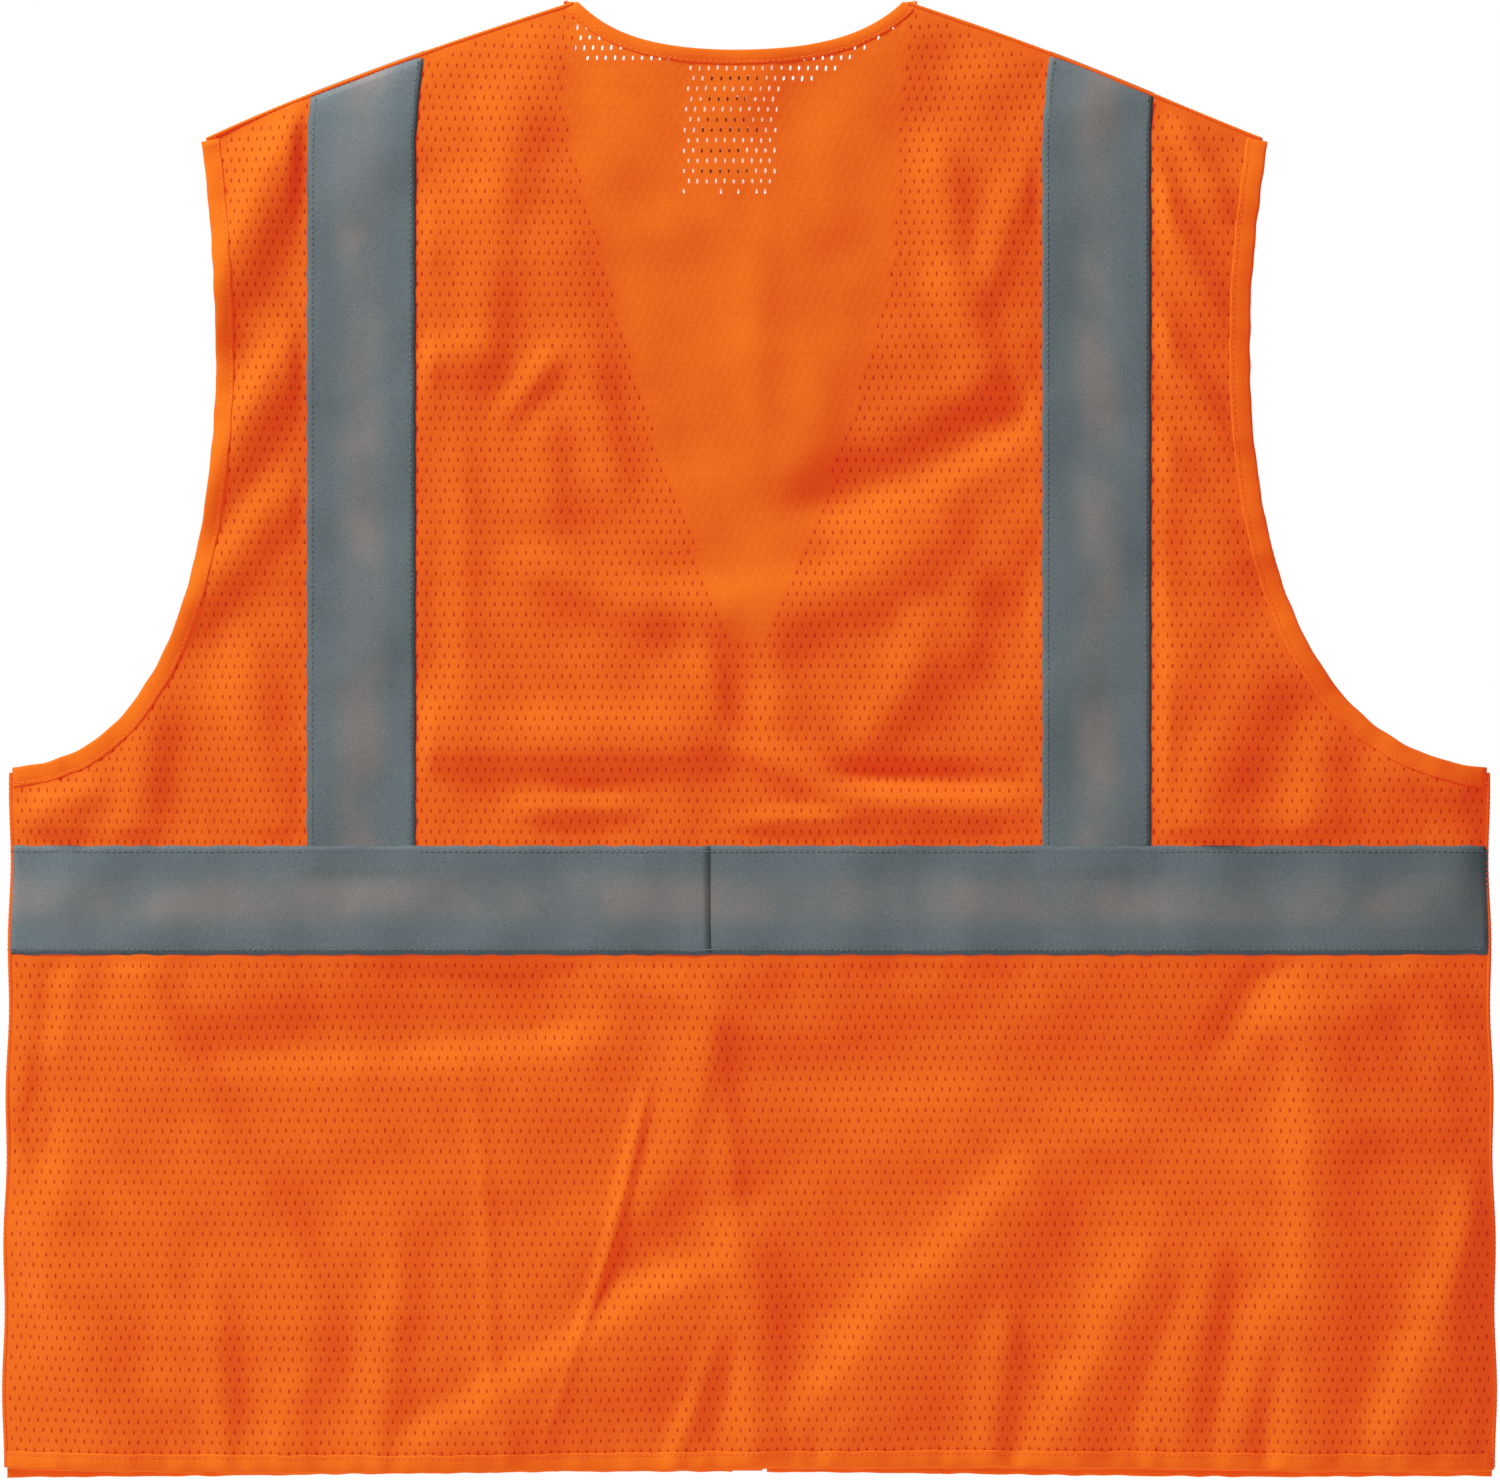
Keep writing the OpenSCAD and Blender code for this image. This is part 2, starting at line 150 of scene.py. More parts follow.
# ---- how it hangs
# Soft folds of the back: start x, start depth, end x, end depth and half width
# in centimetres, the height in millimetres with hollows below zero, and how
# many times wider the flank on the left hand is, going from start to end.
BACK_FOLDS = [
    # Pulls from the shoulder band down to the left armhole
    (-20.2, 6, -24.4, 14.6, 0.9, 3.3, 1.5), (-20.6, 16.4, -24.8, 23.4, 0.9, 3.1, 1.4),
    (-20.8, 23, -25.6, 28.8, 0.9, 2.3, 1.3), (-21.5, 3.8, -24.5, 6.5, 0.7, -2.2, 1),
    # The same to the right armhole
    (22.9, 15.4, 19, 7.2, 0.8, 2.9, 1), (23.6, 21.8, 19, 14, 0.8, 2.9, 1.1),
    (24, 26.6, 19.2, 19.6, 0.9, 1.8, 1.2), (23, 10, 20.6, 5.2, 0.6, 1.7, 1),
    # Upper back, left of the middle
    (-11, 16.4, -15.2, 16.7, 0.9, 2.4, 1.1), (-10.2, 6, -11.6, 17.2, 1.1, 1.8, 0.9),
    (-8, 16.4, -10.4, 19.4, 0.6, 1.5, 1), (-9.9, 6, -6.6, 16, 1.4, 1.7, 1.2),
    (-6.6, 16, -5.2, 23, 1, 1.9, 0.9), (-12.4, 19.8, -12.4, 33, 0.7, 1, 1),
    (-8.6, 19.4, -8.2, 24.2, 1, 1.2, 0.8),
    # Upper back, right of the middle
    (3.2, 23.6, 8.8, 21.9, 1, -2.6, 1.2), (8.8, 21.9, 13.6, 18.8, 1, -3.2, 1.2),
    (9.8, 6.6, 10.5, 13, 1, 2.3, 0.9), (10.5, 13, 12.2, 18, 1, 2.3, 0.9),
    (13.4, 8.4, 11.8, 13.8, 0.8, 1.5, 0.9), (5.6, 14, 3.4, 23, 1.2, 1, 1),
    (1.6, 9, 1.2, 22, 0.8, 0.6, 1),
    # The sagging fold across the point of the V
    (10.4, 24.9, 5, 27.7, 1.2, 3, 1.3), (5, 27.7, -0.4, 28.5, 1.2, 3.2, 1.2),
    (-0.4, 28.5, -5, 28, 1.1, 2.8, 1.1), (-5, 28, -9.4, 26, 1, 2.2, 1),
    (11.6, 26.4, 10.8, 31, 1, 1.4, 1),
    # Creases above the waist band
    (-0.6, 34.7, -8, 34.8, 1.5, 3.6, 0.6), (-8, 34.8, -15.8, 34.6, 1.5, 3.6, 0.6),
    (12.8, 37.8, 5.6, 37.2, 0.7, 2.8, 0.9), (5.6, 37.2, 0.4, 34.6, 0.7, 2.8, 0.9),
    (5, 36.1, 12.8, 36.3, 0.5, -2.4, 1.3), (-4.4, 37.6, -9.4, 37.6, 0.6, 2, 0.8),
    (6.2, 38, 0.8, 38.2, 0.5, 1.8, 0.8), (2.2, 28.8, 2.4, 33.4, 0.9, 1.8, 1.2),
    (9.4, 28.4, 8.5, 31.4, 1, 1.9, 1), (8.5, 31.4, 6.2, 34.6, 1, 1.9, 1.1),
    (-1.2, 29.6, -0.4, 33.6, 0.7, 1.2, 1),
    # From the armholes down to the waist band
    (22.4, 29.2, 18.6, 35.4, 1.3, 2.9, 1.5), (24.6, 30.8, 22.6, 35, 1.1, 2.8, 1.3),
    (22.6, 35, 21.6, 39, 1.1, 2.8, 1.3), (27.4, 33.6, 26.6, 39, 0.9, 1.8, 1.2),
    (34.6, 37.4, 29.8, 35.6, 0.7, 1.8, 1), (18.9, 24, 19.8, 30, 1.1, 1.4, 1),
    (-27.3, 31.8, -28.2, 39, 1, 2.6, 1.2), (-22.6, 29.6, -21.2, 38, 1.1, 2.2, 0.9),
    (-33.4, 37, -31.4, 39, 0.8, 1.6, 1), (-30.4, 36.8, -34.2, 38.2, 0.6, 1.6, 1.2),
    # Below the waist band, left
    (-28.3, 44.6, -25.5, 50.6, 1.7, 3, 0.6), (-25.5, 50.6, -21.6, 57, 1.7, 2.8, 0.6),
    (-21.6, 57, -19.6, 62.6, 1.5, 2.4, 0.7), (-32.6, 45, -33.4, 56, 0.8, -2, 1.2),
    (-33.8, 55.6, -29.6, 67, 1, 3.1, 1.9), (-31.6, 45, -32.6, 50, 0.8, 1.4, 1),
    (-25, 48.9, -16, 48.3, 0.9, -2, 1.8), (-16, 48.3, -7.6, 47.2, 1, -2.9, 2.4),
    (-24.9, 60, -24.3, 68, 0.9, 2.4, 0.9), (-16.3, 58.6, -17.4, 68, 0.9, 2.8, 1),
    (-27, 57.4, -26.6, 64, 0.8, 1.2, 1), (-12.3, 51, -12, 66, 0.4, 0.7, 1),
    (-20.6, 63.6, -21.8, 68, 0.9, 1.4, 1.2),
    # The thin crease and the slanting folds left of the middle
    (-4.5, 51.4, -6.6, 58.4, 0.30, 1.6, 0.9), (-6.6, 58.4, -9.2, 66, 0.28, 1.4, 0.9),
    (-1.2, 47.6, -2.6, 53.4, 1.2, 2.4, 0.6), (-2.6, 53.4, -5.8, 57, 1.2, 1.6, 1),
    (-1.6, 59.6, -8.8, 63.7, 1.1, 3.4, 2.3), (-8.8, 63.7, -15.8, 67.8, 1, 3.2, 1.8),
    (-1.2, 61.2, -3.4, 68, 0.5, 1.8, 1.2), (-12, 64.6, -11, 68, 0.6, 1.2, 1),
    (-0.9, 48, -0.7, 57, 0.9, 1.6, 0.7), (-0.3, 57, 0.3, 62.4, 0.9, 3.2, 1.3),
    (0.3, 62.4, 0.4, 68, 0.9, 3.2, 1.3),
    # Right of the middle
    (13.2, 54.8, 8.4, 60.2, 1.2, 3.2, 1.9), (8.4, 60.2, 2.8, 66.4, 1.2, 3.6, 2.6),
    (5.4, 64.6, 4, 68, 0.5, 1, 1), (1.2, 49.8, 12, 49.2, 1.5, -2.2, 2),
    (12, 49.2, 24.6, 52.6, 1.5, -2.2, 2), (-5, 45.2, 1.4, 48.2, 0.8, 1.6, 1),
    (11.9, 61, 11.2, 68, 0.8, 2.4, 0.9), (18.8, 58.4, 13.8, 68, 1, 2.9, 1.7),
    (20.8, 60.4, 18.6, 68, 0.8, 1.8, 1.2), (21.6, 58.8, 20, 68, 0.8, 2.2, 1),
    (24.3, 61, 22.4, 68, 0.8, 2.5, 1), (26.6, 46.6, 26.3, 56, 1, 2.6, 1.6),
    (26.3, 56, 25.4, 68, 1, 3, 2), (29.6, 47, 24, 47.8, 0.9, 1.8, 1.2),
    (25.2, 44.6, 22, 49.4, 0.8, -1.8, 1), (33.4, 52.8, 27.8, 52, 1, 1.2, 1.2),
    (34.5, 54.8, 31.6, 62.8, 1, 3, 1.5), (31.6, 62.8, 29.4, 68, 1, 3, 1.5),
    (34.8, 61, 33.2, 68, 0.7, 1.8, 1.2), (33.6, 47.8, 29.6, 44.4, 0.8, 1.6, 1),
]
# The same for the fronts, on the wearer's right and mirrored on the left
FRONT_FOLDS = [
    (19.6, 7, 23.2, 16, 0.8, 2.4, 1), (19.4, 11, 23.4, 20, 0.8, -2, 1),
    (19.8, 17, 24.2, 25, 0.9, 2, 1), (12.6, 6, 9.8, 18, 0.9, 1.4, 1),
    (24, 30, 20.4, 38, 1, 2, 1), (27, 33, 26.2, 38.6, 0.8, -1.6, 1),
    (31, 36, 33.6, 38.6, 0.7, 1.6, 1), (13, 29, 4, 36, 1.1, 1.6, 1),
    (12, 33, 3.6, 38, 0.9, -1.6, 1), (28.6, 45, 27.6, 56, 0.9, 1.8, 1),
    (31.4, 46, 32.6, 58, 0.9, -1.6, 1), (30.8, 57, 28.2, 67, 1, 1.8, 1),
    (26.6, 56, 26.2, 67, 0.7, -1.6, 1), (6, 46, 9, 56, 0.9, 1.4, 1),
    (9.6, 55, 6.4, 67, 0.9, 1.8, 1), (4.6, 58, 4.2, 67, 0.8, -1.4, 1),
]
# Kinds of small waviness: wavelength and height
LOOSE = ((0.085, 0.9 * MM), (0.038, 0.35 * MM))


def folded(p, folds, flip=1):
    """The height that a list of folds gives at flat points."""
    height = np.zeros(len(p))
    for x0, d0, x1, d1, width, mm, spread in folds:
        a = np.array((flip * x0, -d0)) * CM
        b = np.array((flip * x1, -d1)) * CM
        along = b - a
        length = np.linalg.norm(along)
        along = along / length
        q = p - a
        t = q @ along / length
        off = (q[:, 0] * along[1] - q[:, 1] * along[0]) / (1.15 * width * CM)
        off = np.where(off * flip < 0, off / spread, off)
        near = (np.abs(off) < 3.2) & (t > -0.35) & (t < 1.35)
        t, off = t[near], off[near]
        ends = smooth(-0.30, 0.30, t) * smooth(1.30, 0.70, t)
        height[near] += mm * (0.5 + 0.5 * max(spread, 1)) * MM * ends * np.exp(-off * off)
    return height


def waves(p, size, seed):
    """Unit waviness with crests about size apart, the same at every run."""
    made = np.random.default_rng(seed)
    total = np.zeros(len(p))
    for k in range(9):
        turn = made.uniform(0, 2 * math.pi)
        step = 2 * math.pi / (size * made.uniform(0.7, 1.5))
        along = p[:, 0] * math.cos(turn) + p[:, 1] * math.sin(turn)
        total += np.sin(step * along + made.uniform(0, 2 * math.pi))
    return total / 3.0


def gathers(s, size, seed):
    """Unit puckers along a seam, at distance s along it."""
    made = np.random.default_rng(seed)
    a, b, c = made.uniform(0, 6.28, 3)
    return (np.sin(6.28 * s / size + a + 1.4 * np.sin(6.28 * s / (size * 3.7) + b))
            + 0.6 * np.sin(6.28 * s / (size * 0.61) + c))


def off_band(v, lo, hi):
    """0 on a band between lo and hi, rising to 1 away from it."""
    return smooth(0, 9 * MM, np.maximum(lo - v, v - hi))


ARM_S = run_length(ARM)


def relief(p, front):
    """How far the cloth stands out from its layer at flat points."""
    x, z = p.T
    ax = np.abs(x)
    side = np.sign(x)
    seed = 40 if front else 10
    calm = 0.7 * MM * waves(p, 0.060, seed) + 0.25 * MM * waves(p, 0.030, seed + 1)
    rough = sum(h * waves(p, size, seed + 2 + k) for k, (size, h) in enumerate(LOOSE))
    if front:
        rough += np.where(x > 0, folded(p, FRONT_FOLDS), folded(p, FRONT_FOLDS, -1))
    else:
        rough += 2.2 * folded(p, BACK_FOLDS)
    # Puckers along the bands and the bound edges
    near_arm = ((np.stack([ax, z], 1)[:, None] - ARM[None, ::4]) ** 2).sum(2)
    arm_d = np.sqrt(near_arm.min(1))
    arm_s = ARM_S[::4][near_arm.argmin(1)]
    rough += 0.55 * MM * np.exp(-arm_d / (9 * MM)) * gathers(arm_s + side, 0.013, seed + 5)
    for edge, k in ((WAIST_TOP, 6), (WAIST_LOW, 7)):
        out = np.abs(z - edge)
        rough += 0.35 * MM * np.exp(-out / (7 * MM)) * gathers(x, 0.015, seed + k)
    for edge, k in ((BAND_IN, 8), (BAND_OUT, 9)):
        out = np.abs(ax - edge)
        rough += (0.22 * MM * np.exp(-out / (6 * MM)) * (z > WAIST_LOW)
                  * gathers(z + side, 0.012, seed + k))
    hem = FRONT_HEM if front else BACK_HEM
    rough += 0.7 * MM * np.exp(-np.abs(z - hem) / (11 * MM)) * gathers(x, 0.019, seed + 10)
    # The bands and seams hold the cloth flat
    on_shoulder = np.where(z > WAIST_LOW, off_band(ax, BAND_IN, BAND_OUT), 1)
    rough *= on_shoulder * off_band(z, WAIST_LOW, WAIST_TOP)
    rough *= smooth(0, 16 * MM, shoulder_line(ax) - z + 3 * MM)
    rough *= 0.05 + 0.95 * smooth(0, 22 * MM, SIDE - ax)
    from_seam = np.minimum(SIDE - ax, shoulder_line(ax) - z)
    total = calm * (0.1 + 0.9 * smooth(0, 10 * MM, from_seam)) + rough
    if front:
        total *= smooth(14 * MM, 60 * MM, ax)
    return 9.5 * MM * np.tanh(total / (9.5 * MM))


def half_gap(p):
    """Half the room between the two layers at flat points."""
    ax, z = np.abs(p[:, 0]), p[:, 1]
    from_side = np.maximum(SIDE - ax, 0)
    from_top = np.maximum(shoulder_line(ax) - z, 0)
    closed = (1 - np.exp(-from_side / (24 * MM))) * (1 - np.exp(-from_top / (28 * MM)))
    return SEAM_GAP + (LAYER_Y - SEAM_GAP) * closed


def shift(p, front):
    """How the vest lies a little out of square: moves within its own plane."""
    x, z = p.T
    ax = np.abs(x)
    lean = smooth(0.345, 0.20, ax) * smooth(-0.60, -0.42, z)
    lean *= 0.45 + 0.55 * smooth(0.0, -0.07, z)
    if front:
        keep = smooth(0.078, 0.13, ax)
        lean *= keep + (1 - keep) * smooth(-0.14, -0.03, z)
    dx = -9.5 * MM * lean
    dx += np.sign(x) * smooth(0.25, SIDE, ax) * MM * (
        -1.8 + 3.2 * smooth(-0.36, -0.66, z) + 0.5 * np.sin(z * 90 + x * 9))
    top = np.clip((ax - NECK_X) / (SHOULDER_X - NECK_X), 0, 1)
    dz = 2.6 * MM * np.sin(math.pi * top) * np.exp(-np.maximum(shoulder_line(ax) - z, 0) / 0.03)
    dz += 1.2 * MM * smooth(-0.58, -0.68, z) * np.sin(x * 11 + (2.0 if front else 0.6))
    return dx, dz


def drape(p, front):
    """Flat points (x, z) to places in the hanging vest."""
    p = np.asarray(p, float)
    gap = half_gap(p)
    out = gap + (0 if front else BILLOW * (gap - SEAM_GAP) / LAYER_Y) + relief(p, front)
    out = np.maximum(out, 0.16 * gap)
    dx, dz = shift(p, front)
    return np.stack([p[:, 0] + dx, (1 if front else -1) * out, p[:, 1] + dz], 1)


# ---- mesh builders
def new_mesh(name, verts, faces, material, uv=None):
    mesh = bpy.data.meshes.new(name)
    mesh.from_pydata([tuple(v) for v in verts], [], faces)
    mesh.polygons.foreach_set("use_smooth", [True] * len(mesh.polygons))
    if uv is not None:
        layer = mesh.uv_layers.new(name="Flat")
        loops = np.zeros(len(mesh.loops), np.int64)
        mesh.loops.foreach_get("vertex_index", loops)
        layer.data.foreach_set("uv", np.asarray(uv, np.float32)[loops].ravel())
    mesh.materials.append(material)
    mesh.update()
    made = bpy.data.objects.new(name, mesh)
    bpy.context.scene.collection.objects.link(made)
    return made


def tidy(piece):
    """Welds points that a straight edge brought together."""
    near = 0.02 * MM
    bm = bmesh.new()
    bm.from_mesh(piece.data)
    bmesh.ops.remove_doubles(bm, verts=bm.verts, dist=near)
    bmesh.ops.dissolve_degenerate(bm, edges=bm.edges, dist=near)
    bm.to_mesh(piece.data)
    bm.free()
    piece.data.update()
    return piece


def opposite(p):
    """Lattice points of a front, staggered half a pitch from the back's as they are seen
    from the camera."""
    q = p + (PORE_X / 2, 0)
    for _ in range(2):
        there, here = shift(p, False), shift(q, True)
        seen = p + np.stack(there, 1)
        seen += (seen - EYE[::2]) * (2 * LAYER_Y + BILLOW) / -EYE[1]
        q = seen - np.stack(here, 1) + (PORE_X / 2, 0)
    return q


def snapped(p):
    """Lattice points kept within the side and shoulder seams."""
    p = p.copy()
    p[:, 0] = np.clip(p[:, 0], -SIDE, SIDE)
    top = np.abs(p[:, 0]) > NECK_X - 6 * MM
    p[top, 1] = np.minimum(p[top, 1], shoulder_line(p[top, 0]))
    return p


def porous_cloth(name, box, keep, holes, place, front, lay=None, shade_sheet=None, thin=None):
    """Mesh cloth as a brick lattice of cells, each with an oval pore. Chosen pores are closed
    a little way in by a sheet of painted shade, standing for the shade seen through them.
    Where thin says so, a paler copy of the cloth and of those sheets paints the light that
    shines through from behind."""
    x0, x1, z0, z1 = box
    rows = np.arange(math.floor(z0 / PORE_Z), math.ceil(z1 / PORE_Z))
    cols = np.arange(math.floor(x0 / PORE_X) - 1, math.ceil(x1 / PORE_X) + 1)
    j, i = (g.ravel() for g in np.meshgrid(rows, cols, indexing="ij"))
    h = 2 * i + (j % 2)
    centre = np.stack([(h + 1) * PORE_X / 2, (j + 0.5) * PORE_Z], 1)
    if lay:
        centre = lay(centre)
    kept = keep(centre)
    h, j, centre = h[kept], j[kept], centre[kept]
    ring = ((1, 0), (2, 0), (2, 1), (1, 1), (0, 1), (0, 0))
    wide = 100000
    keys = np.stack([(h + a + 5000) * wide + (j + b + 5000) for a, b in ring], 1)
    unique, corner = np.unique(keys, return_inverse=True)
    corner = corner.reshape(keys.shape)
    flat = np.stack([(unique // wide - 5000) * PORE_X / 2, (unique % wide - 5000) * PORE_Z], 1)
    if lay:
        flat = lay(flat)
    flat += 0.07 * MM * np.stack([np.sin(unique * 12.9898), np.cos(unique * 78.233)], 1)
    flat = snapped(flat)
    open_cell = holes(centre)
    turn = np.radians([-90, -32, 32, 90, 148, 212])
    n_open = int(open_cell.sum())
    size = np.array([0.54 * MM, 1.20 * MM]) * rng.normal(1, 0.08, (n_open, 2))
    oval = np.stack([np.cos(turn), np.sin(turn)], 1)
    middle = centre[open_cell] + rng.normal(0, 0.12 * MM, (n_open, 2))
    pores = (middle[:, None] + size[:, None] * oval[None]).reshape(-1, 2)
    inner = len(flat) + np.arange(n_open * 6).reshape(-1, 6)
    faces = []
    for k in range(6):
        n = (k + 1) % 6
        faces.append(np.stack([corner[open_cell][:, k], corner[open_cell][:, n],
                               inner[:, n], inner[:, k]], 1))
    shut = corner[~open_cell]
    faces.append(shut[:, [5, 0, 3, 4]])
    faces.append(shut[:, [0, 1, 2, 3]])
    faces = np.vstack(faces)
    cells = np.vstack([centre[open_cell]] * 6 + [centre[~open_cell]] * 2)
    kind = thin(cells).astype(np.int32) if thin else np.zeros(len(cells), np.int32)
    sunk = np.zeros(len(flat) + len(pores), bool)
    # Sheets of painted shade, sunk a little way into the chosen pores.
    if shade_sheet:
        sheeted = shade_sheet(middle)
        sunk[inner[sheeted]] = True
        faces = np.vstack([faces, inner[sheeted][:, [5, 0, 3, 4]], inner[sheeted][:, [0, 1, 2, 3]]])
        lit = thin(middle[sheeted]) if thin else np.zeros(sheeted.sum(), bool)
        kind = np.r_[kind, np.where(np.r_[lit, lit], 1, 2)].astype(np.int32)
    if front:
        faces = faces[:, ::-1]
    flat = np.vstack([flat, pores])
    verts = place(flat, front)
    verts[sunk, 1] += 0.22 * MM * (-1 if front else 1)
    piece = new_mesh(name, verts, faces.tolist(), MESH, uv=flat)
    if shade_sheet:
        piece.data.materials.append(BACKLIT_MESH)
        piece.data.materials.append(PORE_SHADE)
        piece.data.polygons.foreach_set("material_index", kind)
    return tidy(piece)


def grid_faces(n, m, first=0, flip=False):
    a = first + np.arange(n - 1)[:, None] * m + np.arange(m - 1)[None]
    f = np.stack([a, a + 1, a + m + 1, a + m], -1).reshape(-1, 4)
    return f[:, ::-1] if flip else f


def slab(name, outer, inner, uv, material, last=True):
    """A thin strip between two grids of points, closed all round, but for its last row
    where another strip carries on from there."""
    n, m = outer.shape[:2]
    top = np.arange(n * m).reshape(n, m)
    low = top + n * m
    faces = [grid_faces(n, m), grid_faces(n, m, n * m, True)]
    rims = [(top[::-1, 0], low[::-1, 0]), (top[:, -1], low[:, -1])]
    rims += [(top[0], low[0])] + [(top[-1][::-1], low[-1][::-1])] * last
    for a, b in rims:
        faces.append(np.stack([a[1:], a[:-1], b[:-1], b[1:]], 1))
    verts = np.vstack([outer.reshape(-1, 3), inner.reshape(-1, 3)])
    uv = np.vstack([uv.reshape(-1, 2)] * 2)
    return new_mesh(name, verts, np.vstack(faces).tolist(), material, uv)


def tube(name, rings, material, closed=False, uv=None):
    """A skin through rings of points, capped at its ends."""
    n, m = rings.shape[:2]
    verts = rings.reshape(-1, 3)
    at = np.arange(n * m).reshape(n, m)
    a, b = (at, np.roll(at, -1, 0)) if closed else (at[:-1], at[1:])
    faces = np.stack([a, np.roll(a, -1, 1), np.roll(b, -1, 1), b], -1).reshape(-1, 4).tolist()
    if not closed:
        faces += [list(at[0][::-1]), list(at[-1])]
    return new_mesh(name, verts, faces, material, uv)


def joined(name, pieces):
    """Several meshes as one object."""
    bm = bmesh.new()
    for p in pieces:
        bm.from_mesh(p.data)
    mesh = bpy.data.meshes.new(name)
    bm.to_mesh(mesh)
    bm.free()
    mesh.materials.append(pieces[0].data.materials[0])
    mesh.polygons.foreach_set("use_smooth", [True] * len(mesh.polygons))
    for p in pieces:
        bpy.data.objects.remove(p)
    made = bpy.data.objects.new(name, mesh)
    bpy.context.scene.collection.objects.link(made)
    return made


def strip_rings(path, normal, front, width, section, edge, rise):
    """The rings of a folded strip that lies along a flat path, width towards normal;
    section holds (share of width, lift in mm), and edge and rise are its unevenness."""
    return np.stack([
        lifted(path + normal * np.reshape(share * width + edge, (-1, 1)), front,
               lift * MM + rise * np.clip(share, 0.2, 1) * np.sign(lift))
        for share, lift in section], 1)


def section_sweep(name, path, front, width, seed, section, closed):
    """A folded strip along a flat path. Where closed, it runs along the back and
    returns along the front."""
    s = run_length(path)
    normal = inward(path)
    edge = 0.16 * MM * gathers(s, 0.024, seed)
    rise = 0.10 * MM * gathers(s, 0.011, seed + 1)
    rings = strip_rings(path, normal, front, width, section, edge, rise)
    if closed:
        rings = np.vstack([rings, strip_rings(path[::-1], normal[::-1], True, width, section,
                                              edge[::-1], rise[::-1])])
    along, across = np.meshgrid(np.arange(len(rings)) * STEP, np.arange(rings.shape[1]) * MM,
                                indexing="ij")
    return tube(name, rings, BINDING, closed, np.stack([across, along], -1).reshape(-1, 2))


def lifted(p, front, lift):
    """drape() with a lift for each point, kept on its own side of the vest."""
    made = drape(p, front)
    side = 1 if front else -1
    made[:, 1] = side * np.maximum(side * made[:, 1] + lift, 0.12 * MM)
    return made


BOUND = ((1.0, 0.05), (0.97, 0.48), (0.87, 0.60), (0.80, 0.42), (0.73, 0.62), (0.42, 0.74),
         (0.12, 0.70), (-0.03, 0.40), (-0.06, 0.0), (-0.03, -0.38), (0.12, -0.58),
         (0.50, -0.58), (0.95, -0.48), (1.0, -0.05))


def thread(points, out):
    """Stitches along a line of points: their corners and faces."""
    pitch, length, radius = 2.7 * MM, 1.9 * MM, 0.2 * MM
    points = resampled(points, pitch)
    along = tangents(points)
    up = np.array([0, out, 0.0])
    across = np.cross(along, up)
    across /= np.linalg.norm(across, axis=1)[:, None] + 1e-12
    shape = [(-0.5, 0, 0), (-0.28, 1, 0), (-0.28, 0, 1), (-0.28, -1, 0), (-0.28, 0, -1),
             (0.28, 1, 0), (0.28, 0, 1), (0.28, -1, 0), (0.28, 0, -1), (0.5, 0, 0)]
    verts = np.stack([points + along * (a * length) + across * (b * radius) + up * (c * radius)
                      for a, b, c in shape], 1)
    faces = []
    for k in range(4):
        n = (k + 1) % 4
        faces += [(0, 1 + k, 1 + n, 1 + n), (1 + k, 5 + k, 5 + n, 1 + n), (5 + k, 9, 5 + n, 5 + n)]
    return verts, faces


def stitching(name, lines, material):
    """One object holding every stitch of several seams; lines are (points, outward y)."""
    verts, faces, first = [], [], 0
    for points, out in lines:
        made, pattern = thread(points, out)
        for k in range(len(made)):
            faces += [tuple(dict.fromkeys(first + 10 * k + c for c in f)) for f in pattern]
        verts.append(made.reshape(-1, 3))
        first += 10 * len(made)
    return new_mesh(name, np.vstack(verts), faces, material)


# ---- materials
class Finish:
    """A material under construction, with its node tree and shader."""

    def __init__(self, name, rough, specular=0.3, metallic=0.0, painted_glow=None, sheen=0.0):
        self.made = bpy.data.materials.new(name)
        self.made.use_nodes = True
        self.tree = self.made.node_tree
        self.shader = self.tree.nodes["Principled BSDF"]
        self.set("Roughness", rough)
        self.set("Specular IOR Level", specular)
        self.set("Metallic", metallic)
        self.set("Sheen Weight", sheen)
        # The glow set here is painted light: a constant emission that keeps the surface bright
        # with no lamp on it.
        if painted_glow:
            self.set("Emission Color", (*painted_glow, 1))
            self.set("Emission Strength", 1.0)

    def set(self, socket, value):
        self.shader.inputs[socket].default_value = value

    def node(self, kind, **values):
        made = self.tree.nodes.new("ShaderNode" + kind)
        for key, value in values.items():
            if key in made.inputs:
                made.inputs[key].default_value = value
            else:
                setattr(made, key, value)
        return made

    def link(self, a, b):
        self.tree.links.new(a, b)

    def noise(self, scale, detail=2.0, stretch=(1, 1, 1)):
        """The output of a noise pattern in metres."""
        where = self.node("TexCoord")
        turn = self.node("Mapping", Scale=stretch)
        made = self.node("TexNoise", Scale=scale, Detail=detail)
        self.link(where.outputs["Object"], turn.inputs["Vector"])
        self.link(turn.outputs["Vector"], made.inputs["Vector"])
        return made.outputs["Fac"]

    def ramp(self, value, *stops):
        made = self.node("ValToRGB")
        ramp = made.color_ramp
        while len(ramp.elements) < len(stops):
            ramp.elements.new(0.5)
        for element, (at, colour) in zip(ramp.elements, stops):
            element.position = at
            element.color = (*colour, 1)
        self.link(value, made.inputs["Fac"])
        return made.outputs["Color"]

    def greys(self, value, *stops):
        return self.ramp(value, *((at, (grey,) * 3) for at, grey in stops))

    def mix(self, factor, a, b, kind="MIX"):
        made = self.node("MixRGB", blend_type=kind)
        for key, value in (("Fac", factor), ("Color1", a), ("Color2", b)):
            if isinstance(value, bpy.types.NodeSocket):
                self.link(value, made.inputs[key])
            else:
                made.inputs[key].default_value = value if key == "Fac" else (*value, 1)
        return made.outputs["Color"]

    def bump(self, height, distance):
        made = self.node("Bump", Strength=0.5, Distance=distance)
        self.link(height, made.inputs["Height"])
        self.link(made.outputs["Normal"], self.shader.inputs["Normal"])

    def colour(self, value):
        self.link(value, self.shader.inputs["Base Color"])


